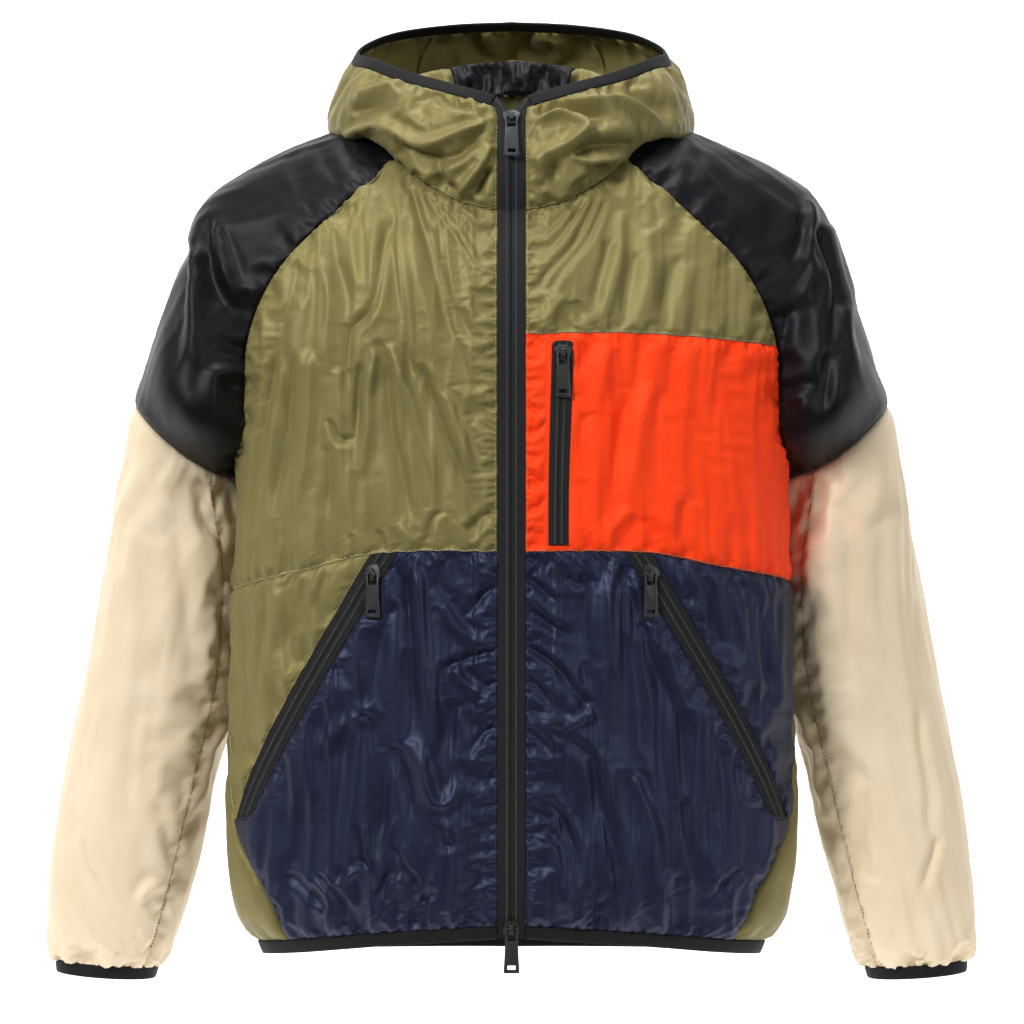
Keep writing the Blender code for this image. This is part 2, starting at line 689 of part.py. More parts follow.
def combine(obj, helper, operation, frame):
    """Joins a helper to an object, or cuts it out, and hides the helper."""
    step = obj.modifiers.new(helper.name, "BOOLEAN")
    step.operation = operation
    step.object = helper
    helper.hide_render = True
    helper.display_type = "WIRE"
    helper.hide_set(True)
    helper.matrix_world = frame


def make_slider(name, frame):
    """A slider's face plate with the bridge that holds its pull."""
    plate_low, plate_high = PLATE
    plate = [(-3, 6.5), (-7.4, 3.6), (-6.6, 0), (-4.8, -6), (4.8, -6), (6.6, 0), (7.4, 3.6), (3, 6.5)]
    obj = prism(name, plate, -plate_high, -plate_low, "Y", "black_zip_metal")
    arch = [(-1.6, -3.6), (-5.2, -3.6), (-6.0, -2.6), (-6.0, 2.6), (-5.2, 3.6), (-1.6, 3.6)]
    arch += [(-1.6, 2.5), (-4.7, 2.5), (-4.7, -2.5), (-1.6, -2.5)]
    bridge = prism(f"{name}_bridge", arch, -BRIDGE_WIDTH / 2, BRIDGE_WIDTH / 2, "X", "black_zip_metal")
    obj.matrix_world = frame
    combine(obj, bridge, "UNION", frame)


def make_pull(name, frame):
    """A pull tab: its crossbar passes under the bridge, and its origin is on the crossbar's axis."""
    top, end = PULL_TOP_WIDTH / 2, PULL_END_WIDTH / 2
    head = CROSSBAR / 2
    foot = head - PULL_LENGTH
    outline = [(-top, head), (-top, foot * 0.3), (-end, foot + 0.8), (-end + 0.8, foot)]
    outline += [(-x, z) for x, z in outline[::-1]]
    half = PULL_THICKNESS / 2
    obj = prism(name, outline, -half, half, "Y", "black_zip_metal")
    width, height = PULL_WINDOW
    window = prism(f"{name}_window", box_outline(width, -head - height, -head), -2, 2, "Y", "black_zip_metal")
    slot_width, slot_height = PULL_SLOT
    slot_low = foot + 3
    slot_outline = box_outline(slot_width, slot_low, slot_low + slot_height)
    slot = prism(f"{name}_slot", slot_outline, -2, 2, "Y", "black_zip_metal")
    obj.matrix_world = frame
    combine(obj, window, "DIFFERENCE", frame)
    combine(obj, slot, "DIFFERENCE", frame)


def hinge_frame(slider_frame, outward, up):
    """The pull's frame: on the slider's bridge, hanging along its own up direction."""
    point = slider_frame @ Vector((0, -HINGE_REACH * MM, 0))
    return frame_at(point / MM, outward, up)


def body_frame(u, z, tilt=0.0):
    """A slider's frame on the body, turned in the cloth by the tilt in degrees."""
    point = torso(u, z)
    across = torso(u + 1, z) - torso(u - 1, z)
    up = torso(u, z + 1) - torso(u, z - 1)
    outward = np.cross(across, up)
    frame = frame_at(point, outward, up)
    return frame @ Matrix.Rotation(math.radians(tilt), 4, "Y"), outward


def make_sliders():
    """Every slider with its pull, hanging as gravity leaves it."""
    edge = zip_path()
    below, middle, above = np.interp(TOP_SLIDER + np.array([-8, 0, 8]), edge[:, 2], edge[:, 1])
    up = (0, above - below, 16)
    outward = (0, -16, above - below)
    top_frame = frame_at((0, middle - TOP_SLIDER_LIFT, TOP_SLIDER), outward, up)
    make_slider("front_slider_top", top_frame)
    make_pull("front_pull_top", hinge_frame(top_frame, outward, up))

    frame, _ = body_frame(0, BOTTOM_SLIDER)
    flipped = frame @ Matrix.Rotation(math.pi, 4, "Y")
    make_slider("front_slider_bottom", flipped)
    make_pull("front_pull_bottom", hinge_frame(flipped, (0, -1, 0), (0, 0, 1)))

    frame, outward = body_frame(sum(CHEST_ZIP_COLUMNS) / 2, CHEST_SLIDER)
    make_slider("chest_slider", frame)
    make_pull("chest_pull", hinge_frame(frame, outward, (0, 0, 1)))

    for name, side in (("left", 1), ("right", -1)):
        u = pocket_line([POCKET_SLIDER], 0)[0, 0]
        frame, outward = body_frame(side * u, POCKET_SLIDER, side * POCKET_SLANT)
        make_slider(f"pocket_slider_{name}", frame)
        make_pull(f"pocket_pull_{name}", hinge_frame(frame, outward, (0, 0, 1)))


def main():
    clear_scene()
    right_edges = make_fronts(-1)
    left_edges = make_fronts(1)
    make_back(left_edges, right_edges)
    make_hem_binding()
    make_sleeves()
    make_hood()
    make_front_zip()
    make_sliders()


main()
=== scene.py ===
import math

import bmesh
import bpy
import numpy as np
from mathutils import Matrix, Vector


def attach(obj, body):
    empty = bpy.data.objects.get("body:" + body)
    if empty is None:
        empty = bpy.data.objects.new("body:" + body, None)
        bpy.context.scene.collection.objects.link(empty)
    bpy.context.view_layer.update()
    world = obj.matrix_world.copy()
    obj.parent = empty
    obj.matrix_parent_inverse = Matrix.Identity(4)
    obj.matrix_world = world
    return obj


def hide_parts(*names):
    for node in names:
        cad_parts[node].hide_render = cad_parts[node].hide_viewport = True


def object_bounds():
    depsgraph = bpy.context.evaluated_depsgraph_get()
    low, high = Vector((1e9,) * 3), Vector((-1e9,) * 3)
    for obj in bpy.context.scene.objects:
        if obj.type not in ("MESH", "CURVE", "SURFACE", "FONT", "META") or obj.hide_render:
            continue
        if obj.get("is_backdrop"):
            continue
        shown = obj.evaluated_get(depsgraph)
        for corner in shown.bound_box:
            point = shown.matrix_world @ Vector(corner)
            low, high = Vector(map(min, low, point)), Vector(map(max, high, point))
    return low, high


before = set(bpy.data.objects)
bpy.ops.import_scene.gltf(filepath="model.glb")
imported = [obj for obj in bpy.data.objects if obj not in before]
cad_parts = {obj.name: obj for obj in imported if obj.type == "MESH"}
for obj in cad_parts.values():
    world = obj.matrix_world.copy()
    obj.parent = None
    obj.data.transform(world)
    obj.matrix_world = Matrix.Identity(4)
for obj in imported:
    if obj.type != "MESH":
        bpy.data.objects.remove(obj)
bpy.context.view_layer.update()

# %% [markdown]
# # A hooded windbreaker
# The jacket is sewn from thin nylon panels round one long zip. It is filled out as it is when worn,
# and nobody is inside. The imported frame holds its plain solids; this lesson gives each panel its own
# cloth: the form is worked out again here, then the cloth is fed a little more length than the form
# has, so that it buckles into puckers, gathers and folds as sewn nylon does.
#
# Lengths are in millimetres until a mesh is made. +X is the wearer's left, -Y the front, +Z up.

MM = 0.001

# %% [markdown]
# ## The camera and the light
# A long lens level with the chest shows the jacket as a catalogue does. One wide light from above
# the left, a weaker one on the right and a bright even room make the soft highlights of nylon.

# %% The camera
CAMERA_HEIGHT = -0.308
CAMERA_AWAY = 3.3
CAMERA_ASIDE = 0.0004
VIEW_WIDTH = 0.8704
SENSOR = 36.0

camera = bpy.data.objects.new("camera", bpy.data.cameras.new("camera"))
bpy.context.collection.objects.link(camera)
camera.data.sensor_width = SENSOR
camera.data.lens = SENSOR * CAMERA_AWAY / VIEW_WIDTH
camera.location = (CAMERA_ASIDE, -CAMERA_AWAY, CAMERA_HEIGHT)
camera.rotation_euler = (math.pi / 2, 0, 0)
bpy.context.scene.camera = camera
print("lens", round(camera.data.lens, 1), "mm")


# %% Colours and nodes
def linear(code):
    """An sRGB hex colour as linear red, green, blue and alpha."""
    channels = np.array([int(code[i : i + 2], 16) for i in (1, 3, 5)]) / 255
    low, high = channels / 12.92, ((channels + 0.055) / 1.055) ** 2.4
    return (*np.where(channels <= 0.04045, low, high).tolist(), 1.0)


def add_node(tree, kind, links=(), **settings):
    """Adds a node, sets its inputs and properties by name, and links (output, input) pairs into it."""
    node = tree.nodes.new(kind)
    labels = {socket.name.lower().replace(" ", "_"): socket for socket in reversed(node.inputs)}
    for name, value in settings.items():
        if name in labels:
            labels[name].default_value = value
        else:
            setattr(node, name, value)
    for output, socket in links:
        tree.links.new(output, node.inputs[socket])
    return node


def new_material(name):
    """An empty material with its output node."""
    made = bpy.data.materials.new(name)
    made.use_nodes = True
    made.node_tree.nodes.clear()
    return made, made.node_tree


def mesh_piece(name, points, faces, finish, uv=None):
    """A mesh of points in mm and of faces that all have the same number of corners."""
    mesh = bpy.data.meshes.new(name)
    mesh.vertices.add(len(points))
    mesh.vertices.foreach_set("co", (points.reshape(-1) * MM).astype(np.float32))
    mesh.loops.add(faces.size)
    mesh.loops.foreach_set("vertex_index", faces.reshape(-1).astype(np.int32))
    mesh.polygons.add(len(faces))
    mesh.polygons.foreach_set("loop_start", np.arange(0, faces.size, faces.shape[1], dtype=np.int32))
    mesh.update(calc_edges=True)
    if uv is not None:
        layer = mesh.uv_layers.new(name="cloth")
        layer.data.foreach_set("uv", (uv.reshape(-1) * MM).astype(np.float32))
    mesh.shade_smooth()
    mesh.materials.append(finish)
    obj = bpy.data.objects.new(name, mesh)
    bpy.context.collection.objects.link(obj)
    return obj


def grid_mesh(name, points, finish, closed=False, uv=None):
    """A grid of points with a quad in each cell, facing the way that columns cross rows. On a closed
    grid the last column is the first one again."""
    rows, columns = points.shape[:2]
    place = np.arange(rows * columns).reshape(rows, columns)
    index = place
    if closed:
        index = np.arange(rows * (columns - 1)).reshape(rows, columns - 1)
        index = np.hstack([index, index[:, :1]])
        points = points[:, :-1]

    def corners(grid):
        return np.stack([grid[:-1, :-1], grid[:-1, 1:], grid[1:, 1:], grid[1:, :-1]], -1).reshape(-1, 4)

    corner_uv = None if uv is None else uv.reshape(-1, 2)[corners(place)]
    return mesh_piece(name, points.reshape(-1, 3), corners(index), finish, corner_uv)


# %% The room
def backdrop():
    """A pale sweep: a floor that turns up into a wall through a quarter circle. Its paper is clear from
    behind, so the jacket's back can be seen through it."""
    radius, back, low = 700.0, 1500.0, -900.0
    turn = np.linspace(0, math.pi / 2, 24)
    floor = np.array([[-300.0, low], [back - radius, low]])
    bend = np.stack([back - radius + radius * np.sin(turn), low + radius - radius * np.cos(turn)], 1)
    wall = np.array([[back, 5000.0]])
    profile = np.vstack([floor, bend[1:], wall])
    across = np.broadcast_to(np.linspace(-7000, 7000, 3), (len(profile), 3))
    points = np.stack([across, np.repeat(profile[:, :1], 3, 1), np.repeat(profile[:, 1:], 3, 1)], -1)
    paper, tree = new_material("matt_white_paper")
    glow = {"emission_color": linear("#ffffff"), "emission_strength": 0.62}
    shade = add_node(tree, "ShaderNodeBsdfPrincipled", base_color=linear("#f4f4f4"), roughness=0.9, **glow)
    clear = add_node(tree, "ShaderNodeBsdfTransparent")
    side = add_node(tree, "ShaderNodeNewGeometry").outputs["Backfacing"]
    mixed = [(side, 0), (shade.outputs[0], 1), (clear.outputs[0], 2)]
    sheet = add_node(tree, "ShaderNodeMixShader", mixed)
    add_node(tree, "ShaderNodeOutputMaterial", [(sheet.outputs[0], "Surface")])
    return grid_mesh("backdrop", points, paper)


def area_light(name, place, target, size, power):
    """A square area light at a place, turned to a target, in metres and watts."""
    lamp = bpy.data.objects.new(name, bpy.data.lights.new(name, "AREA"))
    lamp.data.size = size
    lamp.data.energy = power
    lamp.location = place
    aim = np.array(target) - np.array(place)
    away = math.hypot(aim[0], aim[1])
    lamp.rotation_euler = (math.atan2(away, -aim[2]), 0, math.atan2(-aim[0], aim[1]))
    bpy.context.collection.objects.link(lamp)


LIGHTS = (
    # name, place, target, size, power
    ("key", (-1.8, -2.3, 1.4), (0, 0, -0.3), 1.0, 98),
    ("fill", (1.9, -2.2, 0.3), (0, 0, -0.3), 1.2, 25),
    ("top", (0.0, -0.3, 2.2), (0, 0, 0), 1.0, 44),
)
ROOM_LIGHT = 0.13
backdrop()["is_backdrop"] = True
for light in LIGHTS:
    area_light(*light)
room = bpy.data.worlds.new("room")
room.use_nodes = True
sky = room.node_tree.nodes["Background"].inputs
sky["Color"].default_value = linear("#ffffff")
sky["Strength"].default_value = ROOM_LIGHT
bpy.context.scene.world = room
bpy.context.scene.view_settings.view_transform = "Standard"

# %% [markdown]
# ## The cloth and metal finishes
# The panels are nylon taffeta: a fine plain weave of filament yarn, calendered smooth, so it has a
# broad soft shine, and it creases like paper. Its roughness is about 0.5. A fine weave and a faint
# crinkle are bump; every fold that shows is real shape. Elastic binding and zip tape are matt woven
# polyester, and the sliders and pulls are die-cast zinc under matt black paint.


# %% Nylon taffeta
def taffeta(name, code, shade_code, glint_code, roughness, gloss):
    """Plain-woven nylon: a small weave and a faint crinkle as bump, and a slight drift of colour."""
    made, tree = new_material(name)
    here = add_node(tree, "ShaderNodeUVMap", uv_map="cloth").outputs["UV"]
    # Threads lie 0.2 mm apart on the real cloth; 1.1 mm is the finest that shows here.
    bands = 1 / 0.0011 / 20
    weave = add_node(tree, "ShaderNodeMath", operation="MULTIPLY")
    for socket, way in enumerate("XY"):
        wave = add_node(tree, "ShaderNodeTexWave", [(here, "Vector")], bands_direction=way, scale=bands)
        tree.links.new(wave.outputs["Fac"], weave.inputs[socket])
    crinkle = {"scale": 130.0, "detail": 3.0, "roughness": 0.55}
    creases = add_node(tree, "ShaderNodeTexNoise", [(here, "Vector")], **crinkle)
    drift = add_node(tree, "ShaderNodeTexNoise", [(here, "Vector")], scale=22.0, detail=3.0)
    spread = {"from_min": 0.3, "from_max": 0.7}
    ramp = add_node(tree, "ShaderNodeMapRange", [(drift.outputs["Fac"], "Value")], **spread)
    colour = add_node(tree, "ShaderNodeMix", [(ramp.outputs["Result"], 0)], data_type="RGBA")
    colour.inputs[6].default_value = linear(code)
    colour.inputs[7].default_value = linear(shade_code)
    height = [(creases.outputs["Fac"], "Height")]
    bump = add_node(tree, "ShaderNodeBump", height, strength=0.06, distance=0.0012)
    height = [(weave.outputs["Value"], "Height"), (bump.outputs["Normal"], "Normal")]
    fine = add_node(tree, "ShaderNodeBump", height, strength=0.05, distance=0.0003)
    look = {"roughness": roughness, "specular_ior_level": gloss, "specular_tint": linear(glint_code)}
    fibre = {"ior": 1.53, "sheen_weight": 0.06, "sheen_roughness": 0.4}
    into = [(colour.outputs[2], "Base Color"), (fine.outputs["Normal"], "Normal")]
    shader = add_node(tree, "ShaderNodeBsdfPrincipled", into, **look, **fibre)
    add_node(tree, "ShaderNodeOutputMaterial", [(shader.outputs[0], "Surface")])
    return made


# name, colour, where it drifts to, tint of the shine, roughness, gloss
# Khaki green, each fold lit along its crest in a pale straw colour.
olive = taffeta("olive_nylon_taffeta", "#766d43", "#6e663b", "#e8dca2", 0.52, 0.70)
# Nearly black blue, so that the folds show by their cool shine alone.
navy = taffeta("navy_nylon_taffeta", "#171b2e", "#141728", "#99a2cc", 0.49, 0.72)
# A saturated, nearly flat orange: the folds show by shade more than by shine.
orange = taffeta("orange_nylon_taffeta", "#ff4519", "#fd3d13", "#ffb08a", 0.58, 0.30)
# The darkest cloth, with long soft grey streaks over the shoulder.
black = taffeta("black_nylon_taffeta", "#08080a", "#060608", "#b4b4bc", 0.50, 0.33)
# Pale and warm, with soft brown shade in its folds.
cream = taffeta("cream_nylon_taffeta", "#e6d5b8", "#e0ccac", "#fff0d4", 0.56, 0.35)


# %% Woven polyester and painted zinc
def woven(name, code, roughness, rib):
    """Matt woven polyester: ribs across the band, worked out from a real rib spacing in metres."""
    made, tree = new_material(name)
    place = add_node(tree, "ShaderNodeTexCoord").outputs["Object"]
    grain = add_node(tree, "ShaderNodeTexNoise", [(place, "Vector")], scale=1 / rib, detail=2.0)
    noise = grain.outputs["Fac"]
    tint = add_node(tree, "ShaderNodeMix", [(noise, 0)], data_type="RGBA")
    tint.inputs[6].default_value = linear(code)
    tint.inputs[7].default_value = tuple(value * 0.4 for value in linear(code)[:3]) + (1,)
    bump = add_node(tree, "ShaderNodeBump", [(noise, "Height")], strength=0.35, distance=rib * 0.3)
    into = [(tint.outputs[2], "Base Color"), (bump.outputs["Normal"], "Normal")]
    shader = add_node(tree, "ShaderNodeBsdfPrincipled", into, roughness=roughness, specular_ior_level=0.25)
    add_node(tree, "ShaderNodeOutputMaterial", [(shader.outputs[0], "Surface")])
    return made


def painted_zinc(name, code):
    """Die-cast zinc under matt black paint: a slight orange-peel, and a roughness that drifts a little at
    random.
    """
    made, tree = new_material(name)
    place = add_node(tree, "ShaderNodeTexCoord").outputs["Object"]
    grain = add_node(tree, "ShaderNodeTexNoise", [(place, "Vector")], scale=1500.0, detail=2.0)
    noise = grain.outputs["Fac"]
    wear = add_node(tree, "ShaderNodeMapRange", [(noise, "Value")], to_min=0.38, to_max=0.55)
    bump = add_node(tree, "ShaderNodeBump", [(noise, "Height")], strength=0.2, distance=0.0001)
    into = [(wear.outputs["Result"], "Roughness"), (bump.outputs["Normal"], "Normal")]
    shader = add_node(tree, "ShaderNodeBsdfPrincipled", into, base_color=linear(code))
    add_node(tree, "ShaderNodeOutputMaterial", [(shader.outputs[0], "Surface")])
    return made


# A dull band that outlines the hem, the cuffs and the rim.
elastic = woven("black_ribbed_elastic", "#121214", 0.72, 0.0016)
# A dull dark stripe that sets off the shine of the cloth beside it.
tape_cloth = woven("black_woven_zip_tape", "#1f1f20", 0.75, 0.0014)
# Black nylon coil, coloured grey as a painted sheen: a row of small grey glints down each zip.
coil_nylon_painted_sheen = woven("black_moulded_nylon_coil", "#5a5a5c", 0.45, 0.0020)
# Satin black, lit along its rounded edges.
zinc = painted_zinc("black_painted_zinc", "#222223")
# Threads: dotted lines, paler than the cloth they hold, or darker on the cream.
thread_look = (0.5, 0.0010)
olive_thread = woven("pale_olive_polyester_thread", "#cfc48e", *thread_look)
green_thread = woven("pale_green_polyester_thread", "#9aa583", *thread_look)
orange_thread = woven("light_orange_polyester_thread", "#ff7a45", *thread_look)
navy_thread = woven("blue_polyester_thread", "#35437a", *thread_look)
cream_thread = woven("dark_cream_polyester_thread", "#a8926c", *thread_look)
print(len(bpy.data.materials), "finishes")

# %% [markdown]
# ## The form of the jacket
# The body is a stack of squared-off ovals that swell from the hem to the chest and close in to the
# neck. A seam on it is drawn as a line of (u, height), where u is the distance round from the centre
# front at the waist. Sleeves are ovals round each arm, and the hood is a set of profiles that turn
# round the neck. One smooth-curve function reads all the tables, so the form can be worked out on a
# grid of any fineness. Modelling it by hand in sculpt mode would lose the seams' true places.

# %% The tables of the form
ZIP_EDGE = 11.6
BINDING_WIDTH = 11.0
POCKET_TAPE_HALF = 11.7
TORSO = (
    # height, half_width, side_depth, front, back, squareness
    (-690, 205, -20, 90, 124, 2.4),
    (-671, 212, -21, 95, 128, 2.4),
    (-648, 224, -23, 100, 134, 2.4),
    (-614, 233, -25, 104, 139, 2.4),
    (-546, 236, -25, 105, 138, 2.4),
    (-467, 236, -25, 106, 134, 2.4),
    (-372, 233, -25, 106, 136, 2.4),
    (-281, 231, -24, 107, 142, 2.4),
    (-220, 236, -18, 112, 140, 2.4),
    (-160, 241, -12, 117, 134, 2.4),
    (-95, 236, -4, 113, 120, 2.3),
    (-60, 225, 0, 103, 112, 2.25),
    (-46, 214, 0, 97, 108, 2.2),
    (-36, 207, 0, 90, 106, 2.2),
    (-22, 195, 0, 76, 103, 2.2),
    (-10, 184, 0, 56, 100, 2.2),
    (20, 142, 0, 36, 92, 2.1),
    (45, 108, 0, 25, 82, 2.1),
    (60, 92, 0, 20, 76, 2.1),
)
WAIST_RING = (235, 106, 137, 2.4)
HEM = ((0, -646), (131, -655), (202, -662), (285, -669), (430, -676), (592, -678))
SIDE_SEAM = (
    # height, u
    (-671, 203),
    (-620, 217),
    (-590, 236),
    (-566, 256),
    (-540, 268),
    (-467, 288),
    (-372, 301),
    (-281, 310),
)
UNDERARM = (310, -281)
WAIST_SEAM = {
    # u, height
    1: ((0, -340.5), (83, -340), (117, -341.5), (167, -351), (256, -364), (310, -370)),
    -1: ((0, -340.5), (83, -340), (117, -342.5), (172, -355), (261, -372), (310, -378)),
}
WAIST_SIDE = 301
CHEST_SEAM = ((0, -162.5), (92, -161.5), (154, -165), (222, -170))
NECK_FRONT = ((11.6, -60), (41, -54), (60, -46), (84, -36), (117, -22), (153, -11))
NECK_BACK = ((62, 48), (40, 51), (0, 52))
ARMHOLE = (
    # front_u, front_height, ridge_x, ridge_y, ridge_z, back_x, back_height
    (153, -11, 94, -4, 34, 62, 48),
    (141, -26, 125, -2, 22, 92, 28),
    (147, -41, 155, 0, 11, 118, 8),
    (161, -67, 190, 3, -3, 147, -20),
    (184, -95, 226, 5, -21, 175, -55),
    (206, -132, 258, 7, -45, 198, -100),
    (222, -170, 274, 8, -83, 212, -142),
    (232, -210, 289, 8, -126, 221, -190),
    (247, -250, 304, 8, -171, 226, -238),
)
ARMHOLE_RIDGE_END = (319, 8, -218)
ARMHOLE_STEPS = 9
UNDERARM_PULL = (0.62, 0.77, 0.1)
RIDGE_NEAR, RIDGE_SHARE = 12, 0.6
HANDLES = (0.36, 0.22, 0.12)
CHEST_SEAM_STEP = 6
SLEEVE = (
    # inner_x, inner_z, outer_x, outer_z, depth, half_depth
    (229.5, -281, 319, -218, 0, 58),
    (231, -332, 334, -285, 14, 61),
    (232, -383, 345, -345, 25, 63),
    (234, -435, 355.5, -402, 31, 63),
    (241, -478, 366, -459, 33, 61),
    (252, -523, 377, -512, 33, 60),
    (264.6, -576, 386, -565, 31, 59),
    (278, -628, 392, -616, 28, 56),
    (291, -668, 393, -659, 26, 49),
    (300, -687, 391, -681, 25, 42),
    (303, -695, 389.3, -689, 25, 38),
)
CUFF_END = (306, -706, 388.4, -700, 25, 38)
ARM_SEAM_REACH = 1.7
SLEEVE_SQUARENESS = 0.9
HOOD = (
    # turn, then radius and height of: stand, fold, lining, drop, fall, swell, rim
    (7, 106, -48, 107, -34, 106, -20, 103, -5, 98, 9, 93, 22, 87, 36),
    (35, 115, -30, 119, -17, 121, -4, 119, 9, 113, 22, 104, 36, 94, 49),
    (60, 112, -6, 121, -4, 129, 1, 132, 13, 129, 29, 119, 47, 106, 62),
    (75, 107, 28, 120, 19, 133, 9, 142, 9, 142, 29, 133, 56, 118, 73),
    (90, 104, 44, 120, 34, 138, 19, 150, 13, 150, 31, 141, 58, 129, 81),
    (130, 92, 62, 100, 72, 118, 60, 140, 38, 160, 40, 152, 85, 127, 110),
    (160, 84, 68, 94, 82, 112, 50, 130, -30, 172, -25, 168, 80, 122, 121),
    (180, 81, 70, 92, 85, 112, 30, 127, -66, 180, -46, 172, 80, 118, 123),
)
HOOD_SEAM_TURN = 150
FACING_TURN = 141
FACING_SPAN = (2, 34)
FACING_DEPTH = 9.5
FLARE_START = 16
FLARE_REACH = 12
FLARE_HEIGHT = 20
POCKET_TOP = -342.0
POCKET_U, POCKET_Z, POCKET_RUN, POCKET_RISE = 113.2, -357.1, 125.1, 204.7
POCKET_END = (-560, -563.5, -566)
HEM_SIDE = 203
CHEST_ZIP = (30.0, 46.5, -335.0, -168.0)
POCKET_PULL = (107.0, 126.0, -396.0, -346.0)
print(len(TORSO), "body rings,", len(SLEEVE), "sleeve rings,", len(HOOD), "hood profiles")


# %% Smooth tables and the body
def smooth(rows, at):
    """Columns of a table at any value of its first column: cubic Hermite curves whose slope at each
    row is the mean of the slopes on its two sides, each weighted by the other side's step."""
    table = np.array(rows, float)
    return through(table[:, 0], table[:, 1:], at)


def through(knots, values, at):
    """The same smooth curve through values of any shape, one for each knot."""
    knots = np.asarray(knots, float)
    at = np.clip(np.asarray(at, float), knots[0], knots[-1])
    wide = (slice(None),) + (None,) * (values.ndim - 1)
    step = np.diff(knots)[wide]
    rise = np.diff(values, axis=0) / step
    inner = (step[1:] * rise[:-1] + step[:-1] * rise[1:]) / (step[:-1] + step[1:])
    slope = np.concatenate([rise[:1], inner, rise[-1:]])
    low = np.clip(np.searchsorted(knots, at, side="right") - 1, 0, len(knots) - 2)
    last = (...,) + (None,) * (values.ndim - 1)
    width = (knots[low + 1] - knots[low])[last]
    t = (at - knots[low])[last] / width
    start = values[low] * (1 + 2 * t) * (1 - t) ** 2 + slope[low] * width * t * (1 - t) ** 2
    end = values[low + 1] * t * t * (3 - 2 * t) + slope[low + 1] * width * t * t * (t - 1)
    return start + end


def numbered(rows):
    """The rows of a table, each with its own number first."""
    return [(index, *row) for index, row in enumerate(rows)]


def ease(t):
    """0 below 0, 1 above 1, and 3t squared less 2t cubed between them."""
    t = np.clip(t, 0, 1)
    return t * t * (3 - 2 * t)


def unit(vectors):
    """The same directions, each with a length of 1."""
    return vectors / np.linalg.norm(vectors, axis=-1, keepdims=True)


def bent(values, power):
    """The size of each value raised to a power, with the value's own sign: below 1 it squares an oval."""
    return np.sign(values) * np.abs(values) ** power


def ring_radius(angle, half_width, front, back, squareness):
    """Distance from a ring's middle to its edge, a superellipse: (|sin a|/width)^n + (|cos a|/reach)^n,
    to the power -1/n, where reach is the front's or the back's."""
    reach = np.where(np.cos(angle) > 0, front, back)
    across_part = np.abs(np.sin(angle) / half_width) ** squareness
    along_part = np.abs(np.cos(angle) / reach) ** squareness
    return (across_part + along_part) ** (-1 / squareness)


RING_ANGLES = np.linspace(0, math.pi, 1441)
RING_POINTS = ring_radius(RING_ANGLES, *WAIST_RING)[:, None] * np.stack(
    [np.sin(RING_ANGLES), np.cos(RING_ANGLES)], 1
)
RING_ARC = np.concatenate([[0], np.cumsum(np.linalg.norm(np.diff(RING_POINTS, axis=0), axis=1))])
HALF_GIRTH = RING_ARC[-1]


def torso(u, z):
    """The point at distance u round the body and height z. Past the centre back u runs on."""
    u, z = np.broadcast_arrays(np.asarray(u, float), np.asarray(z, float))
    wrapped = (u + HALF_GIRTH) % (2 * HALF_GIRTH) - HALF_GIRTH
    angle = np.interp(np.abs(wrapped), RING_ARC, RING_ANGLES) * np.sign(wrapped)
    half_width, depth, front, back, squareness = np.moveaxis(smooth(TORSO, z), -1, 0)
    radius = ring_radius(angle, half_width, front, back, squareness)
    return np.stack([radius * np.sin(angle), depth - radius * np.cos(angle), z], -1)


def u_behind(x, z):
    """u of the point at distance x from the middle, on the back."""
    half_width, _, _, back, squareness = smooth(TORSO, z)
    reach = back * (1 - (x / half_width) ** squareness) ** (1 / squareness)
    return float(np.interp(math.atan2(x, -reach), RING_ANGLES, RING_ARC))


def side_seam(heights):
    """The side seam as (u, height)."""
    return np.stack([smooth(SIDE_SEAM, heights)[:, 0], heights], 1)


def pocket_line(heights, offset):
    """u along the slanting hand pocket's centre line, moved sideways by the offset."""
    heights = np.asarray(heights, float)
    return np.stack([POCKET_U - (heights - POCKET_Z) * POCKET_RUN / POCKET_RISE + offset, heights], 1)


print("girth at the waist", round(2 * HALF_GIRTH), "mm")


# %% Grids between four seams
COARSE_ROUNDS, FINE_ROUNDS = 600, 25


def along(points):
    """Distance from the first point to each, along a line of points."""
    return np.concatenate([[0], np.cumsum(np.linalg.norm(np.diff(points, axis=0), axis=1))])


def even(points, count):
    """The line resampled to count points an equal distance apart."""
    length = along(points)
    at = np.linspace(0, length[-1], count)
    return np.stack([np.interp(at, length, column) for column in points.T], 1)


def finer(array, factor):
    """A grid's values on a grid with factor times as many cells, by straight lines between them."""
    for axis in (0, 1):
        count = array.shape[axis]
        at = np.linspace(0, count - 1, (count - 1) * factor + 1)
        low = np.minimum(at.astype(int), count - 2)
        t = (at - low).reshape((-1, 1, 1) if axis == 0 else (1, -1, 1))
        array = np.take(array, low, axis) * (1 - t) + np.take(array, low + 1, axis) * t
    return array


def averaged(grid, rounds):
    """Moves each inner point to the mean of its four neighbours, so that the cells even out."""
    grid = grid.copy()
    for _ in range(rounds):
        grid[1:-1, 1:-1] = (grid[1:-1, :-2] + grid[1:-1, 2:] + grid[:-2, 1:-1] + grid[2:, 1:-1]) / 4
    return grid


